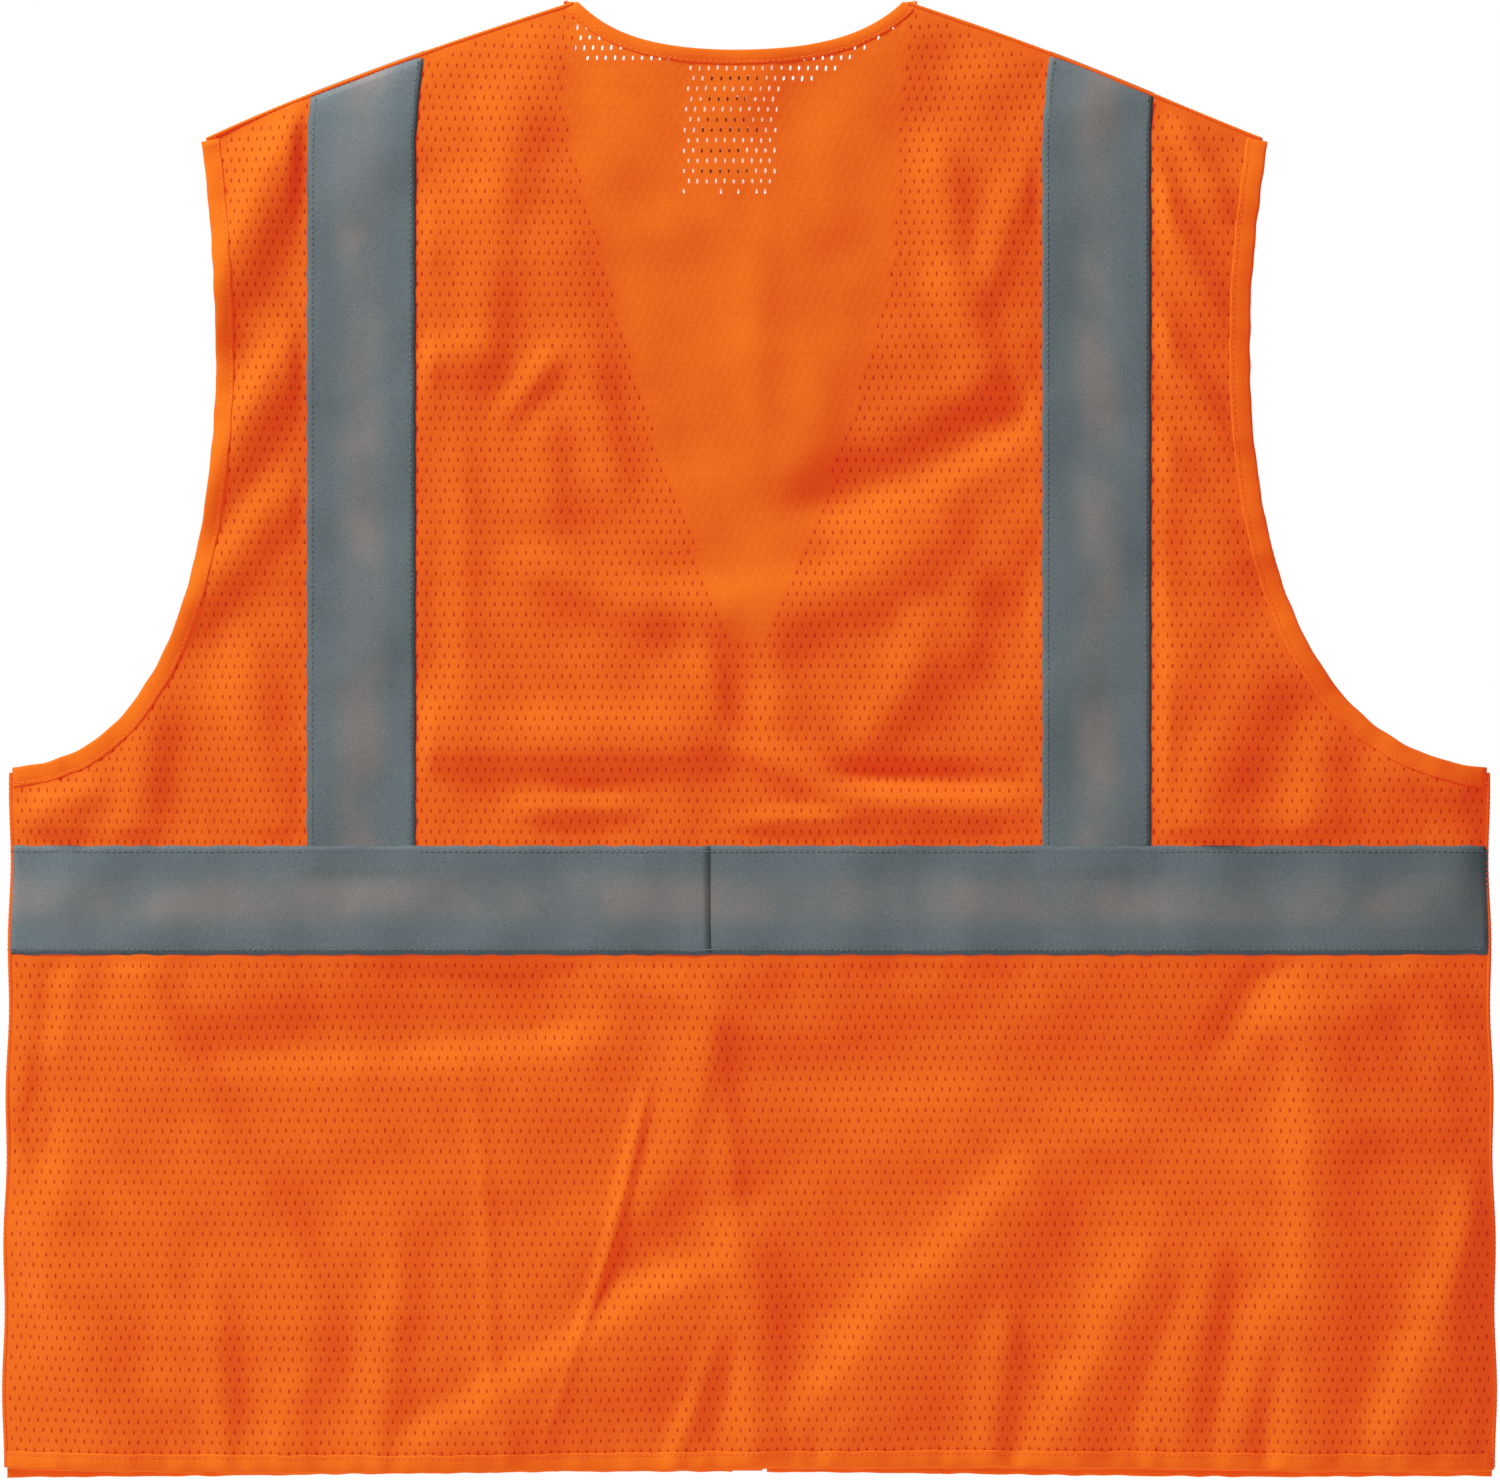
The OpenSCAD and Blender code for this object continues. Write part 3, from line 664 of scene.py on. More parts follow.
def cloth_finish(name, dark, light, painted_glow, ribs, fine):
    """Knitted or woven polyester: fine ribs, soft mottling and a slight sheen, with a painted glow
    that keeps it bright with no lamp on it.
    """
    f = Finish(name, 0.85, specular=0.06, painted_glow=painted_glow, sheen=0.03)
    mottle = f.noise(55, 3)
    grain = f.noise(fine, 2, stretch=ribs)
    f.colour(f.mix(0.35, f.ramp(mottle, (0.3, dark), (0.7, light)),
                   f.ramp(grain, (0.3, dark), (0.7, light))))
    f.bump(grain, 0.25 * MM)
    return f.made


# Mesh cloth: orange, with a painted red glow that stays the same in light and shade.
MESH = cloth_finish("mesh_cloth_finish", (0.20, 0.085, 0.002), (0.24, 0.105, 0.003),
                    (0.55, 0.007, 0.0065), (1, 1, 0.35), 1400)
# Painted light: a paler copy of the mesh cloth, with more painted glow, for the light that shines
# through the single layer from behind.
BACKLIT_MESH = cloth_finish("backlit_mesh_cloth_finish", (0.20, 0.093, 0.002), (0.24, 0.114, 0.003),
                         (0.55, 0.010, 0.0065), (1, 1, 0.35), 1400)
# Painted shade: a dark copy of the cloth, with a weaker painted glow, for the sheets that close
# the pores.
PORE_SHADE = cloth_finish("pore_shade_finish", (0.14, 0.028, 0.001), (0.16, 0.034, 0.002),
                          (0.36, 0.006, 0.004), (1, 1, 1), 2200)
# Binding: orange, with a painted red glow.
BINDING = cloth_finish("binding_cloth_finish", (0.22, 0.095, 0.002), (0.25, 0.112, 0.003),
                       (0.56, 0.012, 0.005), (1, 1, 1), 2200)
# Zip tape cloth: orange, with a painted red glow.
ZIP_CLOTH = cloth_finish("zip_cloth_finish", (0.18, 0.070, 0.003), (0.22, 0.088, 0.004),
                         (0.54, 0.012, 0.006), (0.4, 1, 1), 2600)


def tape_finish():
    """Glass-bead tape: slate, warmer and blotchy along its middle, darker at its edges."""
    f = Finish("reflective_tape_finish", 0.68, specular=0.2)
    where = f.node("UVMap", uv_map="Flat")
    parts = f.node("SeparateXYZ")
    f.link(where.outputs["UV"], parts.inputs["Vector"])
    blotch = f.noise(26, 2)
    across = f.greys(parts.outputs["X"], (0.0, 0.0), (0.22, 0.12), (0.42, 0.9), (0.58, 0.9),
                     (0.80, 0.12), (1.0, 0.0))
    warm = f.mix(1.0, across, f.greys(blotch, (0.38, 0.35), (0.60, 1)), "MULTIPLY")
    colour = f.mix(warm, (0.078, 0.108, 0.117), (0.172, 0.150, 0.140))
    beads = f.ramp(f.noise(2400, 1), (0.35, (0.03, 0.04, 0.05)), (0.65, (0.30, 0.31, 0.32)))
    colour = f.mix(0.18, colour, beads)
    edge = f.greys(parts.outputs["X"], (0.0, 0.80), (0.035, 0.88), (0.08, 1), (0.92, 1),
                   (0.965, 0.88), (1.0, 0.80))
    f.colour(f.mix(1.0, colour, edge, "MULTIPLY"))
    f.bump(f.noise(420, 3), 0.12 * MM)
    return f.made


TAPE = tape_finish()


def plain_finish(name, dark, light, rough, specular=0.4, metallic=0.0, painted_glow=None, scale=300):
    f = Finish(name, rough, specular, metallic, painted_glow)
    mottle = f.noise(scale, 3)
    f.colour(f.ramp(mottle, (0.3, dark), (0.7, light)))
    f.bump(mottle, 0.03 * MM)
    return f.made


# The label's white satin, with a painted glow that keeps it bright behind the pores with no lamp
# on it.
SATIN = plain_finish("label_satin_finish", (0.72, 0.73, 0.74), (0.86, 0.86, 0.85), 0.45,
                     painted_glow=(0.50, 0.47, 0.42), scale=900)
PRINT = plain_finish("label_rule_finish", (0.16, 0.16, 0.17), (0.24, 0.24, 0.25), 0.7)
# Orange seam thread, with a painted red glow.
THREAD = plain_finish("seam_thread_finish", (0.28, 0.085, 0.005), (0.38, 0.13, 0.007), 0.6,
                      painted_glow=(0.46, 0.02, 0.004))
TAPE_THREAD = plain_finish("tape_thread_finish", (0.10, 0.11, 0.12), (0.17, 0.18, 0.19), 0.6)
# Orange zip coil, with a painted red glow.
COIL = plain_finish("zip_coil_finish", (0.26, 0.075, 0.006), (0.34, 0.11, 0.008), 0.35,
                    painted_glow=(0.42, 0.018, 0.004))
METAL = plain_finish("zip_metal_finish", (0.55, 0.56, 0.58), (0.70, 0.70, 0.72), 0.28,
                     specular=0.5, metallic=1.0, scale=160)


# ---- placing
def on(piece, where, slot, *nodes):
    """Gives a piece its body and hides the CAD nodes it stands for; slot is not used. Where that
    is right or left alone, it gets no body: its place is only baked into its mesh."""
    if where in ("right", "left"):
        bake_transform(piece)
    else:
        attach(piece, where)
    if nodes:
        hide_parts(*nodes)
    return piece


SIDES = ((1, "right"), (-1, "left"))
FLAP_EDGE = 0.0895          # where each front's fixed part meets its folding part
FLAP_TOP = -0.075


def sided(path, sign):
    return path if sign > 0 else mirrored(path)


# ---- mesh cloth
REACH = 0.45                # share of a cell that may lie beyond a seam before snapping


def within(p, hem):
    """Cells inside the seams and a little inside the bound edges."""
    q = np.stack([np.abs(p[:, 0]), p[:, 1]], 1)
    kept = (q[:, 0] < SIDE + REACH * PORE_X) & (q[:, 1] > hem + 4 * MM)
    kept &= q[:, 1] < shoulder_line(q[:, 0]) + REACH * PORE_Z
    kept[kept] = depth(ARM, q[kept]) > 3.8 * MM
    return kept


def in_back(p):
    kept = within(p, BACK_HEM)
    kept[kept] = depth(NECK_ALL, p[kept]) > 3 * MM
    return kept


def in_front(p, sign):
    q = np.stack([np.abs(p[:, 0]), p[:, 1]], 1)
    kept = within(p, FRONT_HEM) & (sign * p[:, 0] > ZIP_EDGE + 3 * MM)
    kept[kept] = depth(V_EDGE, q[kept]) > 3 * MM
    return kept


def bare(p, hem):
    """Cells in open mesh, clear of the bands, seams and bound edges."""
    ax, z = np.abs(p[:, 0]), p[:, 1]
    shown = (z < WAIST_LOW - 0.5 * MM) | (z > WAIST_TOP + 0.5 * MM)
    shown &= (z < BAND_END) | (ax < BAND_IN - 0.5 * MM) | (ax > BAND_OUT + 0.5 * MM)
    shown &= (ax < SIDE - 3.6 * MM) & (z < shoulder_line(ax) - 4 * MM) & (z > hem + HEM_W)
    shown[shown] = depth(ARM, np.stack([ax, z], 1)[shown]) > ARM_W
    return shown


def bare_front(p):
    return bare(p, FRONT_HEM) & (np.abs(p[:, 0]) > ZIP_EDGE + 8 * MM)


def single(p):
    """Cells of the back with no front behind them."""
    there, here = shift(p, False), shift(p, True)
    q = p + np.stack([there[0] - here[0], there[1] - here[1]], 1)
    q[:, 0] = np.abs(q[:, 0])
    chosen = (q[:, 1] > V_Z - 8 * MM) & (q[:, 0] < NECK_X + 4 * MM)
    chosen[chosen] = depth(V_EDGE, q[chosen]) < 3 * MM
    return chosen


def shaded_pores(p):
    """Pores to close with a sheet of painted shade: every pore but those of the top rows in the
    single cloth, and the label's.
    """
    lo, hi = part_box("care_label")
    chosen = (p[:, 0] < lo.x) | (p[:, 0] > hi.x) | (p[:, 1] < lo.z) | (p[:, 1] > hi.z)
    rows = chosen & single(p)
    chosen[rows] = depth(NECK_ALL, p[rows]) > (13 + 5 * np.sin(p[rows, 0] * 61)) * MM
    return chosen


def everywhere(p):
    return np.ones(len(p), bool)


def turns(p):
    """Cells of the folding part of a front."""
    return (np.abs(p[:, 0]) < FLAP_EDGE) & (p[:, 1] < FLAP_TOP)


# Most of the back's pores are closed by sheets of painted shade; where the back is a single layer,
# the cloth and the sheets take the paler copy that is painted light.
back = porous_cloth("back_cloth", (-SIDE, SIDE, BACK_HEM, 0.0), in_back,
                    lambda p: bare(p, BACK_HEM), drape, False, shade_sheet=shaded_pores, thin=single)
on(back, "vest", "mesh_cloth", "back_panel")

fronts = {}
for sign, tag in SIDES:
    span = (-2 * CM, SIDE + 2 * CM, FRONT_HEM, 0.0)
    span = span if sign > 0 else (-span[1], -span[0], *span[2:])

    def fixed(p):
        return in_front(p, sign) & ~turns(p)

    def folding(p):
        return in_front(p, sign) & turns(p)

    # Every pore of the fronts is closed by a sheet of painted shade.
    panel = porous_cloth("front_cloth_" + tag, span, fixed, bare_front, drape, True,
                         opposite, everywhere)
    flap = porous_cloth("front_flap_cloth_" + tag, span, folding, bare_front, drape, True,
                        opposite, everywhere)
    on(panel, "vest", "mesh_cloth", "front_panel_" + tag)
    on(flap, tag, "mesh_cloth", "front_flap_" + tag)
    fronts[tag] = (panel, flap)

# ---- bound edges
STITCHED = 0.8              # share of a strip's width at which its stitches run
ZIP_FOLD_W = 8 * MM         # cloth turned under along the zip
seams = {"vest": [], "right": [], "left": []}
tape_seams = {"vest": [], "right": [], "left": []}


def stitch(book, where, line, front, lift):
    """Notes a line of stitches on a layer of cloth, lift outside it."""
    book[where].append((lifted(line, front, lift), 1 if front else -1))


def seam(where, path, front, width):
    """The stitches near the inner edge of a strip of that width."""
    stitch(seams, where, path + inward(path) * STITCHED * width, front, 0.62 * MM)


def edging(name, path, front, width, seed, where, *nodes, section=BOUND, closed=False):
    """A bound edge in its place, with its stitches."""
    strip = section_sweep(name, path, front, width, seed, section, closed)
    on(strip, where, "binding_cloth", *nodes)
    seam(where.replace("_flap", ""), path, front, width)


for sign, tag in SIDES:
    path = resampled(sided(ARM, sign), STEP)
    edging("armhole_edge_" + tag, path, False, ARM_W, 60 + sign, "vest",
           "armhole_binding_" + tag, closed=True)
    seam("vest", path, True, ARM_W)

v_full = resampled(V_EDGE, STEP)
v_low = v_full[v_full[:, 1] < FLAP_TOP + 1 * MM]
v_top = v_full[v_full[:, 1] > FLAP_TOP - 1 * MM]
neck_path = resampled(NECK_ALL, STEP)
neck_rings = []
for path, front in ((mirrored(v_top)[::-1], True), (neck_path, False), (v_top[::-1], True)):
    normal = inward(path) * (-1 if front else 1)
    rise = 0.1 * MM * gathers(run_length(path), 0.011, 71 + len(neck_rings))
    neck_rings.append(strip_rings(path, normal, front, NECK_W, BOUND, 0 * rise, rise))
on(tube("neck_edge", np.vstack(neck_rings), BINDING), "vest", "binding_cloth", "neck_binding")
seam("vest", neck_path, False, NECK_W)
for sign, tag in SIDES:
    seam("vest", sided(v_top, sign), True, NECK_W)
    edging("v_neck_edge_" + tag, sided(v_low, sign), True, NECK_W, 80 + sign, tag,
           "v_neck_binding_" + tag)


def level_path(a, b, z):
    """A straight flat path along a hem, with the cloth above it on the right."""
    return resampled(np.array([(max(a, b), z), (min(a, b), z)]), STEP)


edging("back_hem_edge", level_path(-SIDE + MM, SIDE - MM, BACK_HEM), False, HEM_W, 90, "vest",
       "hem_binding_back")
for sign, tag in SIDES:
    edging("front_hem_edge_" + tag, level_path(sign * FLAP_EDGE, sign * (SIDE - MM), FRONT_HEM),
           True, HEM_W, 92 + sign, "vest", "hem_binding_front_" + tag)
    edging("front_hem_flap_edge_" + tag,
           level_path(sign * ZIP_EDGE, sign * FLAP_EDGE, FRONT_HEM), True, HEM_W, 95 + sign,
           tag, "hem_binding_flap_" + tag)
    path = resampled(np.array([(ZIP_EDGE, FRONT_HEM + 1 * MM), (ZIP_EDGE, V_Z - 1 * MM)]), STEP)
    edging("zip_edge_fold_" + tag, sided(path, sign), True, ZIP_FOLD_W, 98 + sign,
           tag + "_flap", section=BOUND[:8])


# ---- reflective bands
def creased(s, places, size=0.35 * MM):
    """Faint creases across a band, at places along it in centimetres: every other one
    is a shallow hollow."""
    return sum(size * (1 - 1.4 * (k % 2)) * np.exp(-((s - c * CM) / (2.6 * MM)) ** 2)
               for k, c in enumerate(places))


WAIST_CREASES = (-31.9, -26.3, -20.5, -11.6, -1.8, 1.4, 8.2, 12.0, 19.4, 25.2)


def waist_rows(x, front):
    """The two faces of the waist band at x: grids of points with their uv."""
    v = np.linspace(0, 1, 22)
    gx, gv = np.meshgrid(x, v, indexing="ij")
    z = WAIST_LOW + gv * (WAIST_TOP - WAIST_LOW)
    z = z + 0.2 * MM * gathers(gx, 0.021, 33 + front) * (2 * np.abs(gv - 0.5)) ** 4
    over = smooth(3 * MM, 0, np.maximum(BAND_IN - np.abs(gx), np.abs(gx) - BAND_OUT))
    over = over * smooth(BAND_END - 2 * MM, BAND_END + MM, z)
    thick = 0.55 * MM * over + creased(gx, WAIST_CREASES)
    thick = thick * (0.4 + 0.6 * np.sin(math.pi * np.clip(gv, 0.02, 0.98)) ** 0.5)
    tuck = 0.25 * MM * smooth(0.06, 0, np.minimum(gv, 1 - gv)).ravel()
    flat = np.stack([gx, z], -1).reshape(-1, 2)
    outer = lifted(flat, front, 0.46 * MM - tuck + thick.ravel()).reshape(*gx.shape, 3)
    inner = lifted(flat, front, 0.10 * MM + np.maximum(thick, 0).ravel()).reshape(*gx.shape, 3)
    return outer, inner, np.stack([gv, gx], -1)


def turned(sign, *grids):
    """Grids whose columns run the other way on one side, so that they face outward."""
    return [grid[:, ::-1] if sign > 0 else grid for grid in grids]


BAND_SPLIT = 0.096          # where the waist band passes to its part on the flap
JOIN = -8.7 * MM            # the left length ends here, on top of the right one
LAP = 12 * MM
for sign, tag in SIDES:
    ends = (JOIN - LAP if sign > 0 else JOIN)
    back_x = np.linspace(ends, sign * SIDE, 90 if sign > 0 else 84)
    front_x = np.linspace(sign * SIDE, sign * BAND_SPLIT, 62)
    parts = [waist_rows(back_x, False), waist_rows(front_x, True)]
    outer, inner, uv = (np.concatenate([p[k] for p in parts]) for k in range(3))
    if sign < 0:
        lap = smooth(JOIN - LAP - 24 * MM, JOIN - LAP - 2 * MM, outer[..., 0] + 9 * MM)
        lap[len(back_x):] = 0
        outer[..., 1] -= 0.10 * MM * lap
        inner[..., 1] -= 0.10 * MM * lap
    band = slab("waist_tape_" + tag, *turned(sign, outer, inner, uv), TAPE, last=False)
    on(band, "vest", "reflective_tape", "waist_band_" + tag)
    flap_x = sign * np.r_[BAND_SPLIT, np.linspace(BAND_SPLIT - 0.05 * MM, ZIP_EDGE, 40)]
    flap_band = slab("waist_tape_flap_" + tag, *turned(sign, *waist_rows(flap_x, True)), TAPE)
    on(flap_band, tag, "reflective_tape", "waist_band_flap_" + tag)
    for z in (WAIST_LOW + 2.6 * MM, WAIST_TOP - 2.6 * MM):
        for xs, front, group in ((back_x, False, "vest"), (front_x, True, "vest"),
                                 (flap_x, True, tag)):
            line = np.stack([xs, np.full_like(xs, z)], 1)
            stitch(tape_seams, group, line, front, 0.55 * MM)

BAND_CREASES = (-5.2, -11.1, -18.5, -24.0, -31.6)
shoulder_tapes = {}


def shoulder_band(sign):
    """One band: up the back, over the shoulder and down the front."""
    u = np.linspace(0, 1, 22)
    rows_out, rows_in, rows_uv = [], [], []
    x = sign * (BAND_IN + u * (BAND_OUT - BAND_IN))
    top = shoulder_line(x)
    for front, run in ((False, np.linspace(1, 0.012, 88)), (True, np.linspace(0.012, 1, 88))):
        for f in run:
            z = top + f * (BAND_END - 2 * MM - top)
            wide = 0.15 * MM * gathers(z, 0.023, 36 + sign) * (2 * u - 1) ** 5
            flat = np.stack([x + wide, z], 1)
            lift = creased(z, BAND_CREASES, 0.3 * MM)
            tuck = 0.16 * MM * smooth(0.06, 0, np.minimum(u, 1 - u))
            rows_out.append(lifted(flat, front, 0.40 * MM - tuck + lift))
            rows_in.append(lifted(flat, front, 0.09 * MM + np.maximum(lift, 0)))
            rows_uv.append(np.stack([u, z + (0.5 if front else 0)], 1))
        if not front:
            crown = drape(np.stack([x, top], 1), False)
            crown[:, 1] = 0
            rows_out.append(crown + (0, 0, 1.3 * MM))
            rows_in.append(crown + (0, 0, 0.8 * MM))
            rows_uv.append(np.stack([u, top], 1))
    return np.stack(rows_out), np.stack(rows_in), np.stack(rows_uv)


for sign, tag in SIDES:
    faces = [grid[::-1] for grid in turned(-sign, *shoulder_band(sign))]
    shoulder_tapes[tag] = slab("shoulder_tape_" + tag, *faces, TAPE)
    on(shoulder_tapes[tag], "vest", "reflective_tape", "shoulder_band_" + tag)
    for x in (BAND_IN + 2.6 * MM, BAND_OUT - 2.6 * MM):
        for front in (False, True):
            z = np.linspace(shoulder_line(x) - 3 * MM, WAIST_TOP + 2 * MM, 120)
            line = np.stack([np.full_like(z, sign * x), z], 1)
            stitch(tape_seams, "vest", line, front, 0.48 * MM)


# ---- side and shoulder seams
def overlock(name, flat, radius, material):
    """A ridge of thread turns where the back's and a front's edges are sewn."""
    flat = resampled(flat, 0.9 * MM)
    dx, dz = shift(flat, False)
    fx, fz = shift(flat, True)
    spine = np.stack([flat[:, 0] + (dx + fx) / 2, np.zeros(len(flat)),
                      flat[:, 1] + (dz + fz) / 2], 1)
    out = inward(flat) * -1
    turns = 1 + 0.10 * np.cos(np.arange(len(flat)) * 2.4)
    angles = np.linspace(0, 2 * math.pi, 8, endpoint=False)
    rings = np.stack([spine + np.stack([out[:, 0] * math.cos(a),
                                        np.full(len(flat), 1.15 * math.sin(a)),
                                        out[:, 1] * math.cos(a)], 1) * (radius * turns)[:, None]
                      for a in angles], 1)
    return tube(name, rings, material)


for sign, tag in SIDES:
    side = np.array([(SIDE - 0.6 * MM, ARM_Z - 2 * MM), (SIDE - 0.6 * MM, BACK_HEM + 1 * MM)])
    top = np.array([(NECK_X + 2 * MM, shoulder_line(NECK_X + 2 * MM)),
                    (SHOULDER_X - 2 * MM, shoulder_line(SHOULDER_X - 2 * MM))])
    piece = overlock("side_overlock_" + tag, sided(side, sign), 1.1 * MM, MESH)
    on(piece, "vest", "mesh_cloth", "side_seam_" + tag)
    piece = overlock("shoulder_overlock_" + tag, sided(top, sign), 1.0 * MM, BINDING)
    on(piece, "vest", "binding_cloth", "shoulder_seam_" + tag)


# ---- label
label_lo, label_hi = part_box("care_label")
LABEL_SIZE = (label_hi.x - label_lo.x, label_hi.z - label_lo.z)


def on_label(name, x, z, outer, inner, material):
    """A patch that hangs with the label, between two distances from it."""
    gx, gz = np.meshgrid(x, z, indexing="ij")
    face = drape(np.stack([gx, gz], -1).reshape(-1, 2), False).reshape(*gx.shape, 3)
    hang = (label_hi.z - gz) / LABEL_SIZE[1]
    face[..., 1] += 0.9 * MM + (1.6 * MM + 0.5 * MM * np.sin(gx * 160)) * hang
    return slab(name, (face + (0, outer, 0))[::-1], (face + (0, inner, 0))[::-1],
                np.stack([gx, gz], -1), material)


label = on_label("sewn_label", np.linspace(label_lo.x, label_hi.x, 16),
                 np.linspace(label_lo.z, label_hi.z, 20), 0.3 * MM, 0, SATIN)
on(label, "vest", "label_satin", "care_label")
rules = []
for k, row in enumerate((7, 9, 11, 12, 14, 16)):
    at = -(row + 0.5) * PORE_Z
    end = label_hi.x - (7 + 4 * ((k * 2) % 3)) * MM
    rules.append(on_label("rule", np.linspace(label_lo.x + 8 * MM, end, 8),
                          np.array([at - 1.1 * MM, at + 1.1 * MM]), 0.38 * MM, -0.08 * MM, PRINT))
on(joined("label_rules", rules), "vest", "label_satin")
top_line = np.stack([np.linspace(label_lo.x + 2 * MM, label_hi.x - 2 * MM, 30),
                     np.full(30, label_hi.z - 2.4 * MM)], 1)
seams["vest"].append((drape(top_line, False) + (0, 1.35 * MM, 0), 1))


# ---- pockets
def pocket(name, room):
    """A patch pocket of the same mesh: turned and sewn edges, a bound open mouth."""
    node = name.replace("pouch", "pocket")
    lo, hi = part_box(node)
    x0, x1, z0, z1 = lo.x, hi.x, lo.z, hi.z
    margin = 7 * MM

    def bulge(p):
        u = np.clip((p[:, 0] - x0) / (x1 - x0), 0, 1)
        v = np.clip((p[:, 1] - z0) / (z1 - z0), 0, 1)
        rise = np.sin(math.pi * u) ** 0.6 * np.sin(math.pi * np.clip(0.5 * v, 0, 0.5)) ** 0.7
        return 0.5 * MM + room * rise + 0.25 * MM * waves(p, 0.035, len(name))

    def place(p):
        return lifted(p, True, bulge(p))

    def keep(p):
        return ((p[:, 0] > x0 - REACH * PORE_X) & (p[:, 0] < x1 + REACH * PORE_X)
                & (p[:, 1] > z0 - REACH * PORE_Z) & (p[:, 1] < z1 - 3 * MM))

    def holes(p):
        return ((p[:, 0] > x0 + margin) & (p[:, 0] < x1 - margin) & (p[:, 1] > z0 + margin)
                & (p[:, 1] < z1 - margin))

    def inside(p, _):
        return place(np.stack([np.clip(p[:, 0], x0, x1), np.maximum(p[:, 1], z0)], 1))

    patch = porous_cloth(name, (x0, x1, z0, z1), keep, holes, inside, True)
    on(patch, "vest", "mesh_cloth", node)
    mouth = resampled(np.array([(x0 + 0.2 * MM, z1), (x1 - 0.2 * MM, z1)]), STEP)
    drop = np.array([(0, -1.0)])
    rings = np.stack([lifted(mouth + drop * share * HEM_W, True,
                             bulge(mouth + drop * share * HEM_W) + lift * MM)
                      for share, lift in BOUND], 1)
    strip = tube(name + "_mouth", rings, BINDING)
    on(strip, "vest", "binding_cloth", node.replace("pocket", "pocket_binding"))
    seams["vest"].append((place(mouth + drop * STITCHED * HEM_W) + (0, 0.6 * MM, 0), 1))
    for inset in (2.0 * MM, 6.0 * MM):
        loop = np.array([(x0 + inset, z1 - margin), (x0 + inset, z0 + inset),
                         (x1 - inset, z0 + inset), (x1 - inset, z1 - margin)])
        for a, b in zip(loop[:-1], loop[1:]):
            line = resampled(np.array([a, b]), STEP)
            seams["vest"].append((place(line) + (0, 0.12 * MM, 0), 1))
    return patch, (x1 - x0, z1 - z0)


pockets = [pocket("lower_pouch_right", 5 * MM), pocket("lower_pouch_left", 5 * MM),
           pocket("pen_pouch", 4.5 * MM)]

# ---- zip
def zip_strip(name, x0, x1, z0, z1, cells, y0, y1, wave, material):
    """A level strip of cloth behind or beside the coils, with a slight wave."""
    gx, gz = np.meshgrid(np.linspace(x0, x1, cells[0]), np.linspace(z0, z1, cells[1]),
                         indexing="ij")
    faces = [np.stack([gx, y + wave(gx, gz), gz], -1)[::-1] for y in (y1, y0)]
    return slab(name, *faces, np.stack([gx, gz], -1), material)


# A guard of plain cloth behind the zip, sewn to the left front
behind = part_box("zip_slider")[0].y - 0.35 * MM
GUARD_W = 16 * MM
guard = zip_strip("zip_guard", -10 * MM, GUARD_W - 10 * MM, FRONT_HEM + 1.5 * MM,
                  ZIP_TOP + 1 * MM, (12, 120), behind - 0.4 * MM, behind,
                  lambda x, z: 0.12 * MM * np.sin(z * 140 + x * 200), BINDING)
on(guard, "left_flap", "binding_cloth")
ribbons = {}
for sign, tag in SIDES:
    lo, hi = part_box("zip_tape_" + tag)
    zip_run = (lo.z, hi.z)
    ribbons[tag] = zip_strip("zip_ribbon_" + tag, lo.x, hi.x, lo.z, hi.z, (8, 150), lo.y, hi.y,
                             lambda x, z: 0.05 * MM * np.sin(z * 500), ZIP_CLOTH)
    on(ribbons[tag], tag + "_flap", "zip_tape_cloth", "zip_tape_" + tag)
    seams[tag].append((np.stack([np.full(160, sign * 5.2 * MM), np.full(160, hi.y + 0.1 * MM),
                                 np.linspace(lo.z + 2 * MM, hi.z - 2 * MM, 160)], 1), 1))

    # The coil: a wire wound in an oval, round a cord
    lo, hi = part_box("zip_coil_" + tag)
    wire = 0.36 * MM
    reach = 1.1 * MM            # how much nearer the other side's the teeth reach
    middle = ((lo.x + hi.x - sign * reach) / 2, (lo.y + hi.y) / 2)
    half = ((hi.x - lo.x + reach) / 2 - wire, (hi.y - lo.y) / 2 - wire)
    turns = (hi.z - lo.z - 2 * wire) / (1.5 * MM)
    t = np.linspace(0, turns * 2 * math.pi, int(turns * 9))
    cos, sin = np.cos(t), np.sin(t)
    oval = np.stack([np.sign(cos) * np.abs(cos) ** 0.8 * half[0] * sign,
                     np.sign(sin) * np.abs(sin) ** 0.8 * half[1]], 1)
    spine = np.stack([middle[0] + oval[:, 0], middle[1] + oval[:, 1],
                      lo.z + wire + t / (2 * math.pi) * 1.5 * MM], 1)
    radial = np.stack([cos * sign, sin, 0 * t], 1)
    rings = np.stack([spine + wire * (radial * math.cos(a) + np.array([0, 0, math.sin(a)]))
                      for a in np.linspace(0, 2 * math.pi, 5, endpoint=False)], 1)
    wound = tube("wound", rings, COIL)
    zs = np.linspace(*zip_run, 150)
    core = np.stack([np.array([*middle, 0])
                     + np.stack([1.1 * half[0] * np.cos(a) + 0 * zs,
                                 0.75 * half[1] * np.sin(a) + 0 * zs, zs], 1)
                     for a in np.linspace(0, 2 * math.pi, 8, endpoint=False)], 1)
    cord = tube("core", np.clip(core, (-1, -1, lo.z + wire), (1, 1, hi.z - wire)), COIL)
    on(joined("zip_teeth_" + tag, [wound, cord]), tag + "_flap", "zip_coil_plastic",
       "zip_coil_" + tag)

# Metal and moulded parts of the zip keep their CAD shape, with worn nickel
for node in ("zip_top_stop_left", "zip_top_stop_right", "zip_insertion_pin", "zip_retainer_box",
             "zip_slider", "zip_pull"):
    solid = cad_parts[node]
    solid.data.materials.clear()
    solid.data.materials.append(METAL)

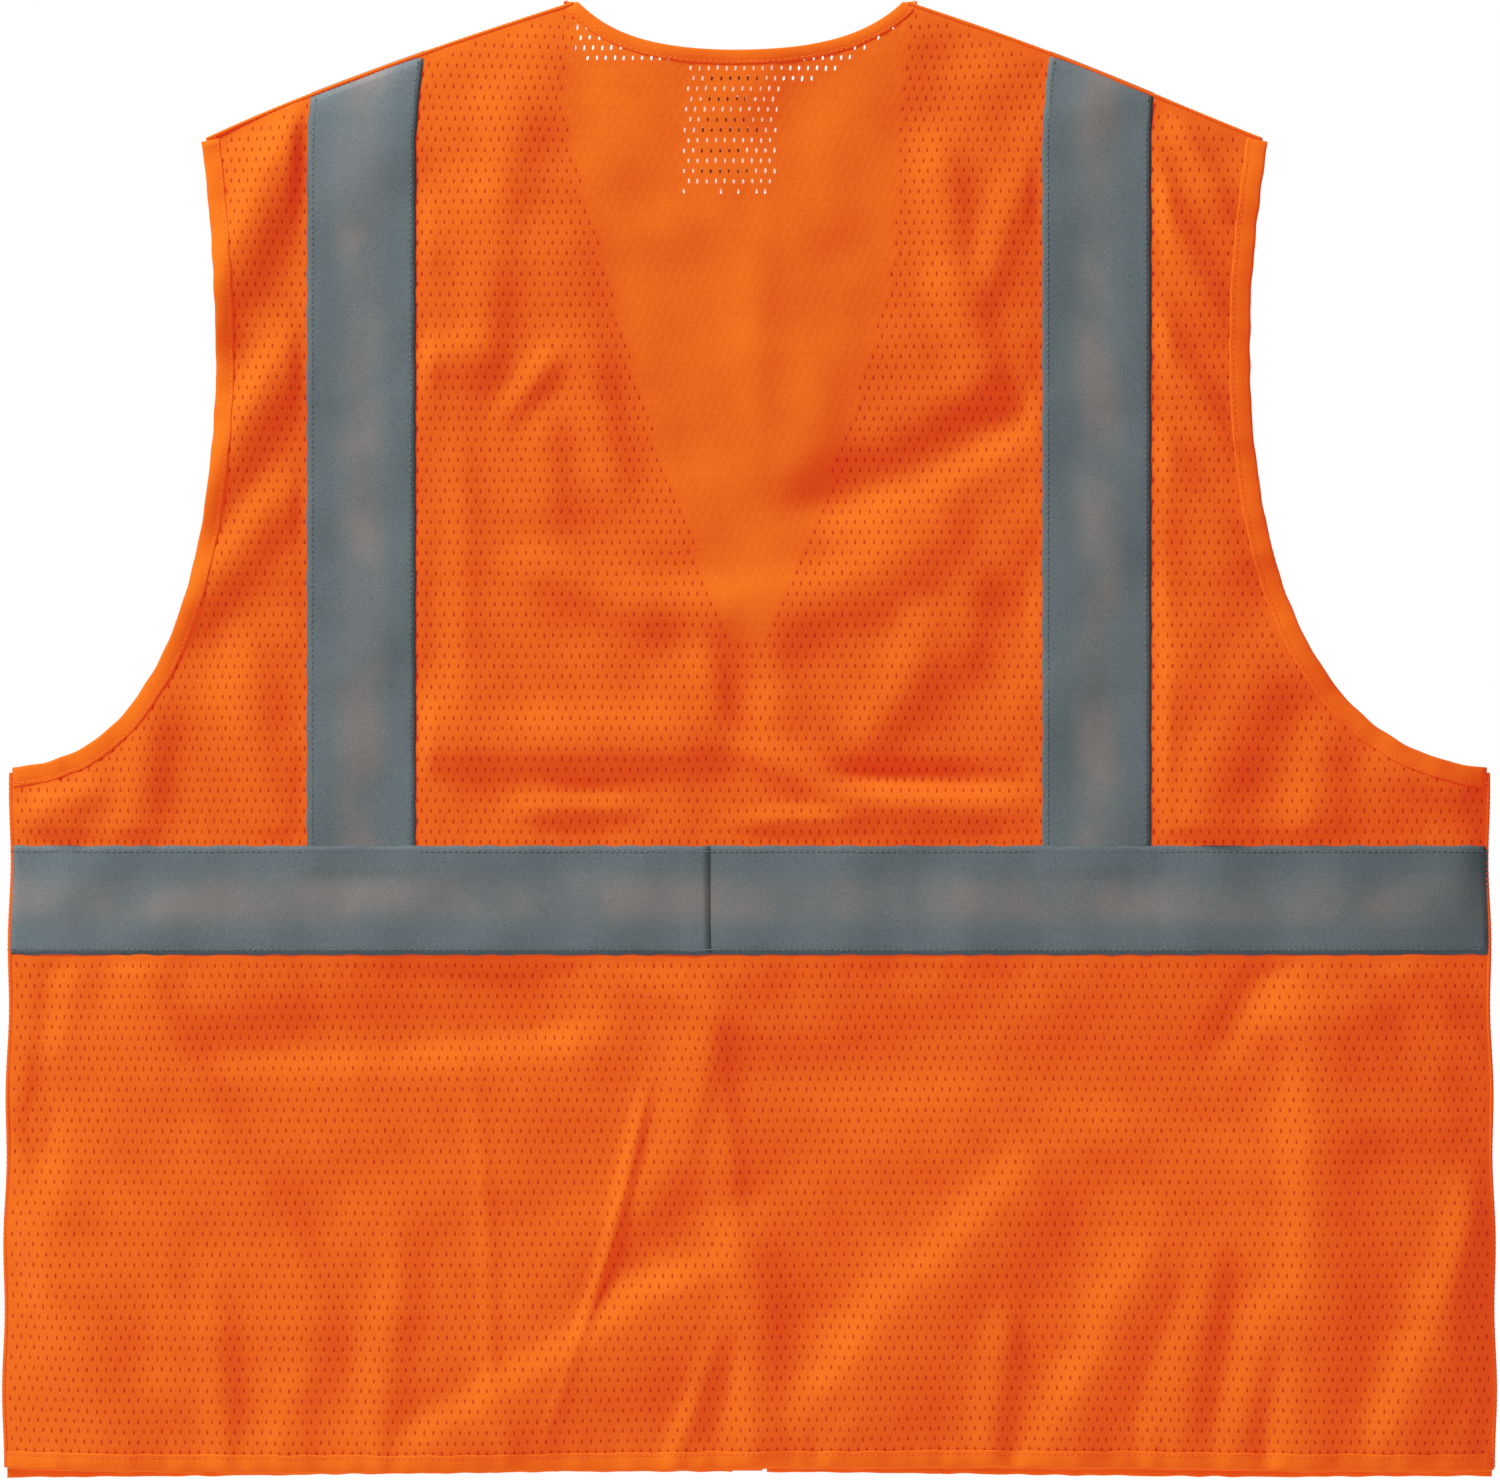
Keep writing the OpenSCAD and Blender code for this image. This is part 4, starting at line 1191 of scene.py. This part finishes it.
for start, groups, material, slot in (
        ("stitches_", seams, THREAD, "binding_cloth"),
        ("tape_stitches_", tape_seams, TAPE_THREAD, "reflective_tape")):
    for where, lines in groups.items():
        on(stitching(start + where, lines, material), where, slot)

# ---- each front's panel and flap, fetched and left as they are
for sign, tag in SIDES:
    panel, flap = fronts[tag]

# ---- floor, light, camera
floor = bpy.data.meshes.new("studio_floor")
floor.from_pydata([(-1.1, -0.9, -1.0), (1.1, -0.9, -1.0), (1.1, 0.9, -1.0), (-1.1, 0.9, -1.0)],
                  [], [(0, 1, 2, 3)])
ground = bpy.data.objects.new("studio_floor", floor)
bpy.context.scene.collection.objects.link(ground)
pale = plain_finish("studio_floor_finish", (0.86, 0.86, 0.86), (0.89, 0.89, 0.89), 0.9, 0.1,
                    scale=6)
floor.materials.append(pale)

world = bpy.data.worlds.new("studio")
bpy.context.scene.world = world
world.use_nodes = True
nodes, links = world.node_tree.nodes, world.node_tree.links
soft = nodes["Background"]
soft.inputs["Color"].default_value = (1, 1, 1, 1)
soft.inputs["Strength"].default_value = 0.18
white = nodes.new("ShaderNodeBackground")
white.inputs["Color"].default_value = (1, 1, 1, 1)
white.inputs["Strength"].default_value = 1.0
choose = nodes.new("ShaderNodeMixShader")
seen = nodes.new("ShaderNodeLightPath")
links.new(seen.outputs["Is Camera Ray"], choose.inputs["Fac"])
links.new(soft.outputs["Background"], choose.inputs[1])
links.new(white.outputs["Background"], choose.inputs[2])
links.new(choose.outputs["Shader"], nodes["World Output"].inputs["Surface"])


def lamp(name, place, target, size, power):
    """A square soft light that faces its target."""
    made = bpy.data.lights.new(name, "AREA")
    made.size = size
    made.energy = power
    held = bpy.data.objects.new(name, made)
    bpy.context.scene.collection.objects.link(held)
    held.location = place
    aim = Vector(target) - Vector(place)
    held.rotation_euler = aim.to_track_quat("-Z", "Y").to_euler()


lamp("key_light", (-1.85, -1.20, 2.35), (0, 0, -0.30), 1.0, 255)
lamp("front_light", (1.30, 2.10, 1.10), (0, 0, -0.34), 1.1, 90)

camera = bpy.data.cameras.new("camera")
camera.sensor_width = 36
camera.lens = 36 * -EYE[1] / 0.6990
camera.clip_start, camera.clip_end = 0.1, 30
camera.dof.use_dof = False
shot = bpy.data.objects.new("camera", camera)
bpy.context.scene.collection.objects.link(shot)
shot.location = EYE
shot.rotation_euler = (math.pi / 2, 0, 0)
bpy.context.scene.camera = shot
bpy.context.scene.view_settings.view_transform = "Standard"
